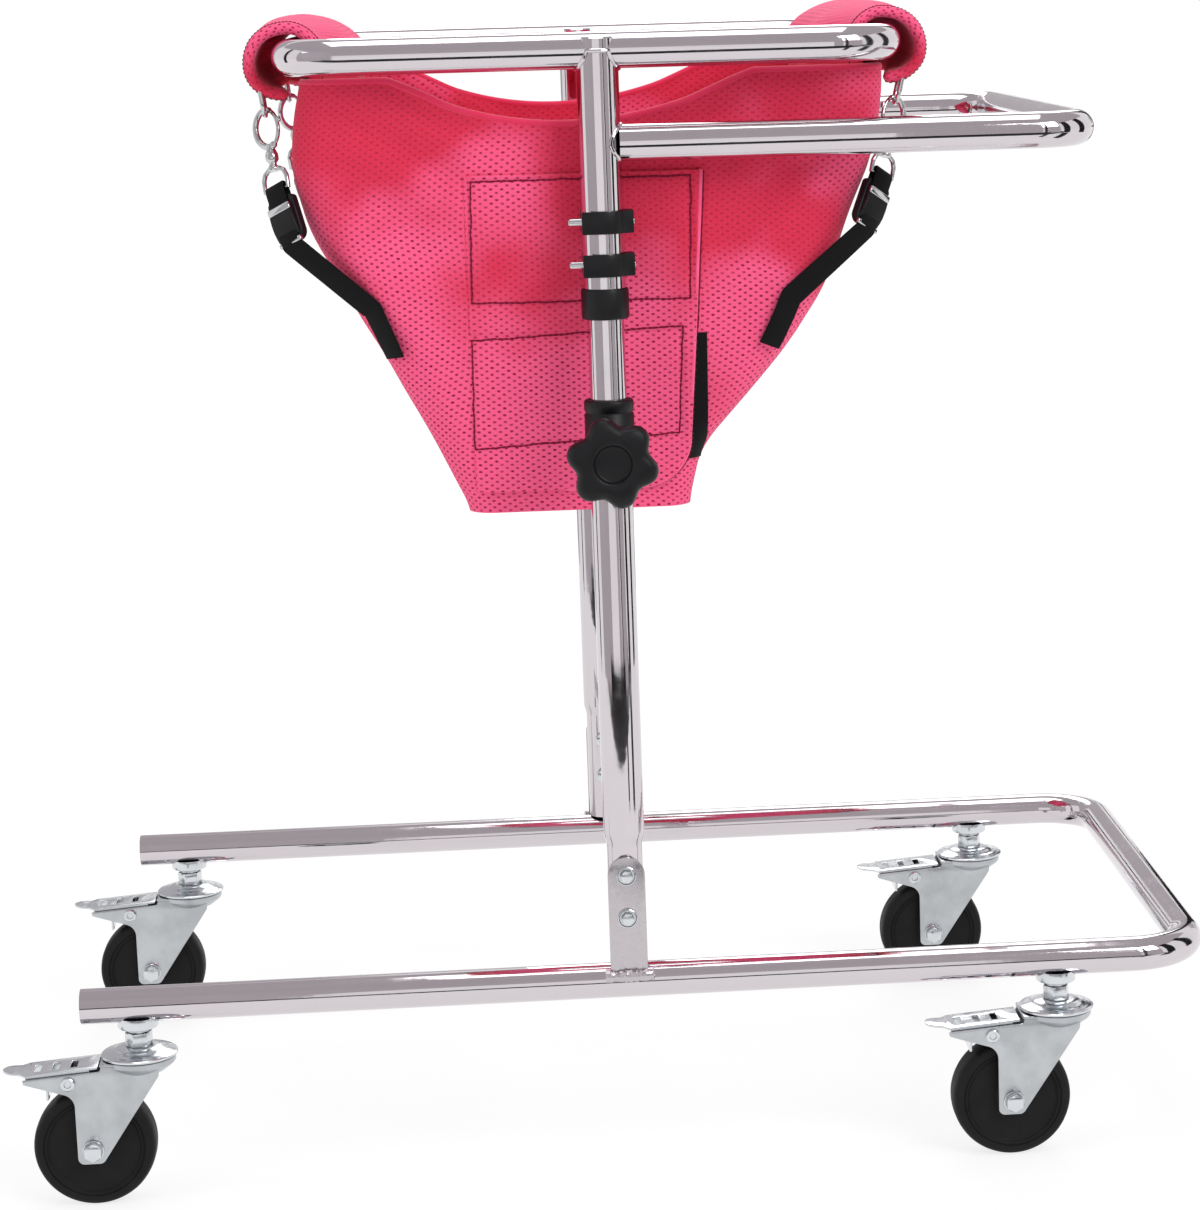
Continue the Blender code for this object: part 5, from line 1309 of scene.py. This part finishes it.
def flap_front(s, z):
    """Front edge of the flap: straight and slightly slanted, with one large round corner below."""
    front = s.mast_x + FLAP_FRONT * s.ring_length
    bend_z = s.flap_low + s.flap_corner
    if z < bend_z:
        return front - s.flap_corner + math.sqrt(max(s.flap_corner ** 2 - (bend_z - z) ** 2, 0))
    return front + FLAP_SLANT * (z - bend_z) / (s.flap_high - bend_z)


STITCH_STEP = 0.8 * MM          # between the points of a sewn line
STITCH = 4.25                   # points from one needle hole to the next
# Corners (x, z) of the two stitched rectangles in mm
RECTANGLES = (((-71, 547), (62, 546), (64, 621), (-69, 621)),
              ((-73, 455), (54, 461), (57, 529), (-72, 524)))
# Their left, right, low and high sides in mm, taken as straight, where the thread pulls the cloth in
PINCHES = ((-71, 63, 546.5, 621), (-72.5, 56, 458, 526.5))
PINCH_REACH = 1.7               # mm to each side of the thread
PINCH_DEPTH = 0.8 * MM


def seams():
    """The two stitched rectangles as closed (x, z) paths, each a little crooked as if sewn by hand."""
    paths = []
    for seed, corners in enumerate(RECTANGLES):
        path = []
        for a, b in zip(corners, corners[1:] + corners[:1]):
            a, b = Vector(a) * MM, Vector(b) * MM
            steps = round((b - a).length / STITCH_STEP)
            for i in range(steps):
                spot = a.lerp(b, i / steps)
                wave = 0.6 * MM * noise.noise(Vector((spot.x / (9 * MM), spot.y / (9 * MM), seed)))
                path.append(spot + Vector((wave, -wave)))
        paths.append(path)
    return paths


def pinched(x, z):
    """How deep the rectangles' stitching pulls the cloth in."""
    depth = 0.0
    for left, right, low, high in PINCHES:
        dx = min(abs(x / MM - left), abs(x / MM - right)) if low - 1 < z / MM < high + 1 else 99
        dz = min(abs(z / MM - low), abs(z / MM - high)) if left - 1 < x / MM < right + 1 else 99
        depth = max(depth, math.exp(-(min(dx, dz) / PINCH_REACH) ** 2))
    return PINCH_DEPTH * depth


def flap_y(s, x, z):
    """Outer face of the right flap."""
    sewn = smooth_step(0, 9 * MM, x - s.flap_rear)
    pillow = 0.9 * MM * ripple((x, z, 0), 28 * MM, 4.0)
    return panel_y(s, x, z) - GAP - s.flap_thick * (0.25 + 0.75 * sewn) + pinched(x, z) - sewn * pillow


def make_flap(s):
    """Right closure flap: a sheet over the side panel with one round corner, pulled in at its stitching."""
    def spot(u, v):
        z = s.flap_low + v * (s.flap_high - s.flap_low)
        return s.flap_rear + u * (flap_front(s, z) - s.flap_rear), z

    def place(u, v):
        x, z = spot(u, v)
        return Vector((x, flap_y(s, x, z), z))

    flap = facing(surface(140, 200, place, spot), (s.mast_x, 0, 0.5 * (s.flap_low + s.flap_high)))
    return eased(walled(flap, 0.65 * s.flap_thick), 0.7 * MM, 2, 60)


def make_seams(s):
    """Thread of the stitched rectangles."""
    return joined(*(stitched([(p.x, flap_y(s, p.x, p.y) - 0.3 * MM, p.y) for p in path], 0.68 * MM, 0.25,
                             STITCH, cyclic=True) for path in seams()))


def flap_heights(s, steps):
    """Heights up the flap's front edge, close together where its corner is round."""
    return [s.flap_low + (s.flap_high - s.flap_low) * (1 - math.cos(math.pi * i / (2 * steps)))
            for i in range(steps + 1)]


def make_edge_shadow_cord(s):
    """Dark thread that holds the flap's turned edge, seen as a line along its front and round corner."""
    path = []
    for z in flap_heights(s, 240)[:-1]:
        x = flap_front(s, z) + 0.9 * MM
        wave = 0.35 * MM * noise.noise(Vector((z / (8 * MM), 7, 0)))
        path.append((x + wave, panel_y(s, x, z) - 0.5 * MM, z))
    return stitched(path, 0.9 * MM, 0.2, STITCH)


def make_edge(s):
    """Turned edge of the flap: a soft roll along its lower edge, round its corner and up its front."""
    roll = GAP + 0.6 * s.flap_thick
    front = []
    for z in flap_heights(s, 160):
        x = flap_front(s, z) - 0.8 * MM
        front.append((x, panel_y(s, x, z) - roll, z + 0.4 * MM))
    first_x, _, first_z = front[0]
    below = [first_x - (24 - i) * 2 * MM for i in range(24)]
    path = [(x, panel_y(s, x, s.flap_low) - roll, first_z) for x in below] + front
    return swept(path, 1.3 * MM, resolution=4)


def make_hook_strip(s):
    """Black hook tape that shows between the flap's front edge and the panel it closes on."""
    low, high, rear, front = 443 * MM, 524 * MM, 48 * MM, 72 * MM

    def place(u, v):
        z = low + v * (high - low)
        right = front - 4 * MM * (1 - smooth_step(0, 0.2, v))
        x = rear + u * (right - rear)
        return Vector((x, panel_y(s, x, z) - GAP - 0.9 * MM, z))

    strip = surface(24, 60, place, lambda u, v: ((front - rear) * u, (high - low) * v))
    strip = facing(strip, (s.mast_x, 0, 0.5 * (low + high)))
    return eased(walled(strip, 0.8 * MM), 0.25 * MM, 1, 60)


def build_seat(s):
    """Sling, gusset, wraps, and the flaps with their stitching and hook strips."""
    sling = show("sling_shell", make_shell(s), "mast", "cloth", "seat_sling", smooth=60)
    gusset = show("sling_gusset", make_gusset(s), "mast", "cloth", smooth=60)
    show("sling_rim", make_rim(s), "mast", "binding", smooth=60)
    for end, sign in ENDS.items():
        padding = make_wrap(s, sign)
        threads = make_wrap_seams(s, sign, padding)
        wrap = show(f"{end}_wrap", padding, "mast", "cloth", smooth=80)
        show(f"{end}_wrap_stitching", threads, "mast", "thread", smooth=60)
    flap = make_flap(s)
    trims = (("flap_edge", make_edge(s), "binding"),
             # The flap's stitching thread, joined with the painted shadow cord along its front edge.
             ("flap_stitching", joined(make_seams(s), make_edge_shadow_cord(s)), "thread"),
             ("hook_strip", make_hook_strip(s), "webbing"))
    for side, flip in mirrored():
        hung = show(f"{side}_flap", copied(flap, flip), "mast", "cloth", f"{side}_closure_flap", smooth=60)
        for name, bm, finish in trims:
            show(f"{side}_{name}", copied(bm, flip), "mast", finish, smooth=60)


# Straps and hooks of the right side, mirrored to the left

def dee_place(s, end):
    """Middle of a right D-ring's bar, on the wrap's lower end."""
    radius = s.radius + 6.5 * MM + s.wrap_thick / 2
    angle = math.radians(244 if end > 0 else 225)
    inwards = radius * math.cos(angle) - 4 * MM
    rise = radius * math.sin(angle) - 4 * MM
    return Vector((cross_tube_x(s, end) - end * inwards, -(s.wrap_half - 12.5 * MM), s.ring_z + rise))


def dee_tilt(end):
    """A D-ring's lean about its own bar, in towards the middle of the seat."""
    return Matrix.Rotation(math.radians(14 if end > 0 else -7), 4, "Y")


def hook_frame(end):
    """Lean of a right hook with its strap, spread over the side panel and turned flat to the sling's
    corner."""
    hang = Matrix.Translation((0, 0, -DEE_DROP))
    spread = Matrix.Rotation(math.radians(-16), 4, "X")
    yaw = Matrix.Rotation(math.radians(end * 35), 4, "Z")
    return dee_tilt(end) @ hang @ spread @ yaw @ hang.inverted()


def buckle_frame(s, end):
    """Place of a right buckle: below its hook's eye, swung a little towards the strap's sewn end."""
    bar = Matrix.Translation((0, 0, EYE_BAR))
    swing = Matrix.Rotation(math.radians(end * 10), 4, "Y")
    return Matrix.Translation(dee_place(s, end)) @ hook_frame(end) @ bar @ swing @ bar.inverted()


# A hook's parts hang below the D-ring's bar at z = 0
DEE_DROP = 16 * MM
WIRE = 1.5 * MM                 # radius of the D-ring and the eye
HOOK_TOP = -DEE_DROP + 5 * MM
SWIVEL_TOP = HOOK_TOP - 23 * MM
EYE_TOP = SWIVEL_TOP - 15 * MM
EYE_BAR = EYE_TOP - 13 * MM
BUCKLE_TOP = EYE_BAR - 6 * MM


def make_hook(s, end):
    """D-ring, swivel snap hook with its spring gate, and its eye, at the D-ring's bar."""
    half = 8.5 * MM
    points = [(half, 0)] + arc((0, -DEE_DROP + half), half, 0, -180, 24) + [(-half, 0)]
    dee = swept([(0, y, z) for y, z in points], WIRE, cyclic=True, resolution=5)
    centre = HOOK_TOP - 13 * MM
    ring, radii = [], []
    for i in range(56):
        angle = 2 * math.pi * i / 56 + math.pi / 2
        bulge = 1 + 0.14 * max(0, end * math.cos(angle))
        ring.append((8.2 * MM * bulge * math.cos(angle), 0, centre + 11.5 * MM * math.sin(angle)))
        gate = -end * math.cos(angle) > 0.45 and abs(math.sin(angle)) < 0.85
        radii.append(0.62 if gate else 0.92 + 0.16 * max(0, -math.sin(angle)))
    loop = swept(ring, 2 * MM, cyclic=True, resolution=5, radii=radii)
    nub = turned(mm((0, -1.9), (1.1, -1.7), (1.5, 0), (1.1, 1.7), (0, 1.9)), 20)
    nub = moved(nub, x=-end * 9.4 * MM, z=centre + 3.5 * MM)
    barrel = mm((0, -1.5), (3.4, -1.5), (3.7, -0.6), (3.7, 0.6), (2.9, 1.4), (2.3, 2.2), y=EYE_TOP)
    barrel += mm((2.3, -3.4), (3.1, -2.8), (3.9, -1.6), (4.0, 1.6), (3.3, 3.6), (2.6, 5.2),
                 y=EYE_TOP + 7 * MM)
    barrel += mm((2.4, 0), (0, 0.8), y=SWIVEL_TOP)
    reach = s.strap_width / 2 + WIRE + 2 * GAP
    right = [(reach, EYE_BAR), (0.98 * reach, EYE_TOP - 6 * MM), (0.8 * reach, EYE_TOP - 2.4 * MM),
             (0.45 * reach, EYE_TOP - 0.5 * MM)]
    eye = right + [(0, EYE_TOP)] + [(-x, z) for x, z in reversed(right)]
    eye = swept([(x, 0, z) for x, z in eye], WIRE, cyclic=True, resolution=5)
    leaning = [placed(part, hook_frame(end)) for part in (loop, nub, turned(barrel, 36), eye)]
    return joined(*leaning, placed(dee, dee_tilt(end)))


def on_sling(s, turn, z, end, off):
    """Place off the sling's right corner, turned by degrees from its side, with the outward normal."""
    rear, front, half, corner = sling_size(s, z)
    centre = Vector((front if end > 0 else rear, -half, z)) + corner * Vector((-end, 1, 0))
    normal = Vector((end * math.sin(math.radians(turn)), -math.cos(math.radians(turn)), 0))
    return centre + (corner + off) * normal, normal


def strap_route(s, end):
    """(place, face normal) stations of the right strap, from the eye through the buckle to its sewn end."""
    place = buckle_frame(s, end)
    round_wire = WIRE + GAP + s.strap_thick / 2
    over = [Vector((0, math.cos(a), math.sin(a))) for a in (math.pi * i / 8 for i in range(9))]
    route = [(Vector((0, round_wire, BUCKLE_TOP - 23 * MM)), over[0])]
    route += [(Vector((0, 0, EYE_BAR)) + round_wire * normal, normal) for normal in over]
    route += [(Vector((0, -round_wire, z)), over[-1]) for z in (BUCKLE_TOP, BUCKLE_TOP - 30 * MM)]
    route = [(place @ spot, place.to_3x3() @ normal) for spot, normal in route]
    off = s.strap_thick / 2 + 0.8 * MM
    bend_z = s.ring_z - 153 * MM
    turn = 13 if end > 0 else 32
    for share in (0, 0.25, 0.5, 0.75, 1):
        route.append(on_sling(s, turn + share * 8, bend_z - share * 30 * MM, end, off))
    return route


def make_strap(s, end):
    """Flat webbing drawn straight from station to station, with rounded edges."""
    fine = []
    route = strap_route(s, end)
    for (a, na), (b, nb) in zip(route, route[1:]):
        steps = max(round((b - a).length / STITCH_STEP), 1)
        fine += [(a.lerp(b, i / steps), na.lerp(nb, i / steps)) for i in range(steps)]
    fine.append(route[-1])
    for _ in range(3):
        bends = [tuple((before[k] + 2 * here[k] + after[k]) / 4 for k in (0, 1))
                 for before, here, after in zip(fine, fine[1:], fine[2:])]
        fine = [fine[0], *bends, fine[-1]]
    count = len(fine) - 1
    width, edge = s.strap_width / 2, s.strap_width / 2 - 0.7 * MM
    rim = [(width, -0.35), (width, 0.35), (edge, 1.0), (0, 1.0), (-edge, 1.0), (-width, 0.35),
           (-width, -0.35), (-edge, -1.0), (0, -1.0), (edge, -1.0)]
    girth = 32 * MM

    def place(u, v):
        i = round(v * count)
        spot, normal = fine[i]
        run = fine[min(i + 1, count)][0] - fine[max(i - 1, 0)][0]
        across = normal.cross(run).normalized()
        lifted = run.cross(across).normalized()
        side, lift = rim[round(u * len(rim)) % len(rim)]
        return spot + across * side + lifted * (s.strap_thick / 2 * lift)

    strap = surface(len(rim), count, place, lambda u, v: (girth * u, count * STITCH_STEP * v))
    bmesh.ops.holes_fill(strap, edges=strap.edges, sides=0)
    bmesh.ops.recalc_face_normals(strap, faces=strap.faces)
    return strap


def make_buckle(s, end):
    """Black cam buckle: a frame plate and a rounded lever."""
    half = 10 * MM
    low, high = BUCKLE_TOP - 29 * MM, BUCKLE_TOP
    big, small = 5.5 * MM, 3 * MM
    outline = arc((-half + big, low + big), big, 180, 270, 8) + arc((half - big, low + big), big, 270, 360, 8)
    outline += arc((half - small, high - small), small, 0, 90, 6)
    outline += arc((-half + small, high - small), small, 90, 180, 6)
    plate = eased(extruded(outline, -1.6 * MM, 4.4 * MM, "Y"), 1.1 * MM, 3, 40)
    profile = mm((-1.2, -5), (-3.4, -6.5), (-4.6, -10), (-4.9, -15), (-4.5, -20), (-3.2, -24.5),
                 (-1.2, -26.5), y=high)
    lever = eased(extruded(profile, -half + 1.2 * MM, half - 1.2 * MM, "X"), 0.9 * MM, 3, 50)
    return placed(joined(plate, lever), buckle_frame(s, end))


def make_bars(s, end):
    """Bright cross bars of a cam buckle: one over its lever, one at the strap's way out."""
    reach = 8.6 * MM
    upper = rounded_box((-reach, -5.2 * MM, BUCKLE_TOP - 10 * MM),
                        (reach, -3.2 * MM, BUCKLE_TOP - 5.5 * MM), 0.8 * MM, 3)
    lower = rounded_box((-reach, -3.4 * MM, BUCKLE_TOP - 30.5 * MM),
                        (reach, -0.6 * MM, BUCKLE_TOP - 27.5 * MM), 0.7 * MM, 2)
    return placed(joined(upper, lower), buckle_frame(s, end))


def build_straps(s):
    """Hooks, webbings and buckles of the right side, mirrored to the left."""
    for end, direction in ENDS.items():
        hook = moved(make_hook(s, direction), *dee_place(s, direction))
        strap, buckle, bars = make_strap(s, direction), make_buckle(s, direction), make_bars(s, direction)
        for side, flip in mirrored():
            name = f"{end}_{side}"
            show(f"{name}_hook", copied(hook, flip), "mast", "nickel", f"{name}_snap_hook", smooth=60)
            webbing = show(f"{name}_webbing", copied(strap, flip), "mast", "webbing", f"{name}_strap",
                           smooth=50)
            show(f"{name}_buckle", copied(buckle, flip), "mast", "plastic", smooth=50)
            show(f"{name}_buckle_bars", copied(bars, flip), "mast", "nickel", smooth=50)


# Stage

CAMERA_PLACE = Vector((-0.06127, -2.20402, 0.73784))
CAMERA_TURN = (0.08041, 0.18254, 0.02703)       # yaw, pitch down and roll in radians
PHOTO_SIZE = (1200, 1210)
CAMERA_FOCAL = 3349.92                          # pixels of the photograph
CAMERA_CENTRE = (765.76, 595.09)
CARD_REACH = 2.6                                # upright cards from the middle


def build_camera():
    """Camera that was fitted to the photograph."""
    yaw, pitch, roll = CAMERA_TURN
    forward = Vector((math.sin(yaw) * math.cos(pitch), math.cos(yaw) * math.cos(pitch), -math.sin(pitch)))
    right = Vector((math.cos(yaw), -math.sin(yaw), 0))
    down = forward.cross(right)
    across = math.cos(roll) * right + math.sin(roll) * down
    below = -math.sin(roll) * right + math.cos(roll) * down
    data = bpy.data.cameras.new("camera")
    camera = bpy.data.objects.new("camera", data)
    bpy.context.scene.collection.objects.link(camera)
    turn = Matrix((across, -below, -forward)).transposed().to_4x4()
    camera.matrix_world = Matrix.Translation(CAMERA_PLACE) @ turn
    width, height = PHOTO_SIZE
    data.sensor_width = 36
    data.lens = CAMERA_FOCAL * data.sensor_width / height
    data.shift_x = -(CAMERA_CENTRE[0] - width / 2) / height
    data.shift_y = (CAMERA_CENTRE[1] - height / 2) / height
    bpy.context.scene.camera = camera


def seen(tree):
    """1 for camera, mirror and glass rays."""
    path = add(tree, "LightPath").outputs
    both = add(tree, "Math", {"operation": "MAXIMUM", 0: path["Is Camera Ray"], 1: path["Is Glossy Ray"]})
    return add(tree, "Math", {"operation": "MAXIMUM", 0: both, 1: path["Is Transmission Ray"]})


def build_world():
    world = bpy.data.worlds.new("studio")
    world.use_nodes = True
    tree = world.node_tree
    strength = add(tree, "MapRange", {"Value": seen(tree), "To Min": 0.5, "To Max": 1.0})
    wire(tree, tree.nodes["Background"], {"Color": (1, 1, 1, 1), "Strength": strength})
    bpy.context.scene.world = world


def staged(name, bm, finish):
    """Finish a piece of the studio."""
    mesh = mesh_of(bm)
    mesh.materials.append(finish)
    item = bpy.data.objects.new(name, mesh)
    bpy.context.scene.collection.objects.link(item)
    return item


def build_floor(floor_colour):
    """Pale floor that keeps the object's shadow and whitens away from it."""
    made, tree, shader = material("studio floor", floor_colour, {"Roughness": 0.9})
    glow = add(tree, "Emission", {"Color": (1, 1, 1, 1), "Strength": 1.06})
    place = add(tree, "TexCoord").outputs["Object"]
    reach = add(tree, "VectorMath", {"operation": "LENGTH", 0: place}).outputs["Value"]
    fade = add(tree, "MapRange", {"Value": reach, "From Min": 0.5, "From Max": 2.0, "To Min": 0.74,
                                  "To Max": 1.0})
    share = add(tree, "Math", {"operation": "MULTIPLY", 0: seen(tree), 1: fade})
    blend = add(tree, "MixShader", {0: share, 1: shader, 2: glow})
    wire(tree, tree.nodes["Material Output"], {"Surface": blend})
    sheet = bmesh.new()
    bmesh.ops.create_grid(sheet, x_segments=1, y_segments=1, size=20)
    staged("studio_floor", sheet, made)


def build_cards(track_half):
    """Cards that only the plating reflects: black ones for the tubes' dark streaks, grey ones for their soft
    greys."""
    black, _, _ = material("black studio card", (0.01, 0.01, 0.01, 1), {"Roughness": 1.0})
    grey, _, _ = material("grey studio card", (0.05, 0.05, 0.05, 1),
                          {"Roughness": 1.0, "Emission Color": (0.46, 0.43, 0.45, 1),
                           "Emission Strength": 1.0})

    def upright(turn, width, low=0.0, high=2.4):
        """Card round the walker, its turn from -Y and its width in degrees."""
        half = CARD_REACH * math.tan(math.radians(width / 2))
        card = rounded_box((-half, -CARD_REACH - 0.02, low), (half, -CARD_REACH, high), 0.002, 1)
        return placed(card, Matrix.Rotation(math.radians(turn), 4, "Z"))

    def on_floor(first, last):
        """Wedge on the floor that points at the near side tube."""
        outline = [(reach * math.sin(math.radians(turn)), -track_half - reach * math.cos(math.radians(turn)))
                   for reach, turn in ((0.85, first), (2.3, first), (2.3, last), (0.85, last))]
        return extruded(outline, 0.004, 0.008)

    black_parts = [on_floor(33, 40), on_floor(60, 72)]
    black_parts += [upright(*card) for card in ((29, 5), (64, 12), (96, 14), (-100, 7), (150, 8))]
    black_parts += [rounded_box(*box, 1) for box in (((-3, -2.12, 0.0), (3, -2.1, 0.14), 0.002),
                                                     ((-3, -2.1, 0.004), (3, -1.35, 0.01), 0.001),
                                                     ((-3, 3.0, 0.5), (3, 3.02, 0.62), 0.002))]
    grey_parts = [upright(*card) for card in ((-50, 54), (42, 20, 0.0, 1.2), (18, 12), (-150, 30))]
    grey_parts += [rounded_box(*box, 0.002, 1) for box in (((-4, -3.22, 1.25), (4, -3.2, 3.5)),
                                                           ((-4, -3.2, 3.5), (4, 3.2, 3.52)),
                                                           ((-3, 3.2, 0.9), (3, 3.22, 1.7)))]
    for name, finish, parts in (("black_cards", black, black_parts), ("grey_cards", grey, grey_parts)):
        cards = staged(name, joined(*parts), finish)
        for ray in ("camera", "diffuse", "transmission", "shadow"):
            setattr(cards, f"visible_{ray}", False)


def build_lamps():
    """Four soft square lamps: (place, size, power)."""
    middle = Vector((0, 0, 0.45))
    lamps = {"key": ((1.6, -2.2, 2.2), 1.4, 42), "fill": ((-2.4, -1.6, 1.4), 1.6, 18),
             "back": ((0.4, 2.6, 2.2), 1.6, 24), "top": ((0, 0, 3.0), 1.6, 20)}
    for name, (place, size, power) in lamps.items():
        data = bpy.data.lights.new(name, "AREA")
        data.shape = "SQUARE"
        data.size = size
        data.energy = power
        lamp = bpy.data.objects.new(name, data)
        bpy.context.scene.collection.objects.link(lamp)
        lamp.location = place
        lamp.rotation_euler = (middle - Vector(place)).to_track_quat("-Z", "Y").to_euler()


# Add-on

class WALKER_OT_finishes(bpy.types.Operator):
    """Make the materials of the walker"""
    bl_idname = "walker.finishes"
    bl_label = "Finishes"

    def execute(self, context):
        build_materials()
        return {"FINISHED"}


def operator(key, label, about, build):
    """Operator class that builds one group of pieces."""
    def execute(self, context):
        if not MATERIALS:
            raise RuntimeError("make the finishes first")
        build(lay_out())
        return {"FINISHED"}

    return type(f"WALKER_OT_{key}", (bpy.types.Operator,), {"__doc__": about, "bl_idname": f"walker.{key}",
                                                            "bl_label": label, "execute": execute})


PIECE_OPERATORS = [
    operator("tubes", "Base, ring and handle", "Build the bent chrome tubes and their welds", build_tubes),
    operator("uprights", "Uprights", "Build the telescopic upright tubes", build_uprights),
    operator("brackets", "Foot brackets", "Build the foot brackets with their bolts", build_brackets),
    operator("clamps", "Height clamps", "Build the collars, star knobs and end sleeves", build_clamps),
    operator("clips", "Snap clips", "Build the snap clips and their pins", build_clips),
    operator("casters", "Casters", "Build the four braked casters", build_casters),
    operator("seat", "Seat", "Build the fabric seat with its wraps and flaps", build_seat),
    operator("straps", "Straps and hooks", "Build the straps, buckles and snap hooks", build_straps),
]


class WALKER_OT_stage(bpy.types.Operator):
    """Build the floor, the light and the camera"""
    bl_idname = "walker.stage"
    bl_label = "Stage"

    def execute(self, context):
        colours = context.scene.walker_colours
        build_camera()
        build_world()
        build_floor((*colours.floor, 1))
        build_cards(lay_out().half_track)
        build_lamps()
        context.scene.view_settings.view_transform = "Standard"
        return {"FINISHED"}


OPERATORS = [WALKER_OT_finishes] + PIECE_OPERATORS + [WALKER_OT_stage]


class WALKER_PT_panel(bpy.types.Panel):
    """Lists what the add-on builds"""
    bl_label = "Walker"
    bl_idname = "WALKER_PT_panel"
    bl_space_type = "VIEW_3D"
    bl_region_type = "UI"
    bl_category = "Walker"

    def draw(self, context):
        for kind in OPERATORS:
            self.layout.operator(kind.bl_idname)
        for key in GROUPS:
            group = getattr(context.scene, key)
            for name in group.__annotations__:
                self.layout.prop(group, name)


def register():
    for kind in [*GROUPS.values(), *OPERATORS, WALKER_PT_panel]:
        bpy.utils.register_class(kind)
    for key, kind in GROUPS.items():
        setattr(bpy.types.Scene, key, bpy.props.PointerProperty(type=kind))


def unregister():
    for key in GROUPS:
        delattr(bpy.types.Scene, key)
    for kind in reversed([*GROUPS.values(), *OPERATORS, WALKER_PT_panel]):
        bpy.utils.unregister_class(kind)


def main():
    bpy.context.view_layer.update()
    register()
    for kind in OPERATORS:
        getattr(bpy.ops.walker, kind.bl_idname.split(".")[1])()


if __name__ == "__main__":
    main()
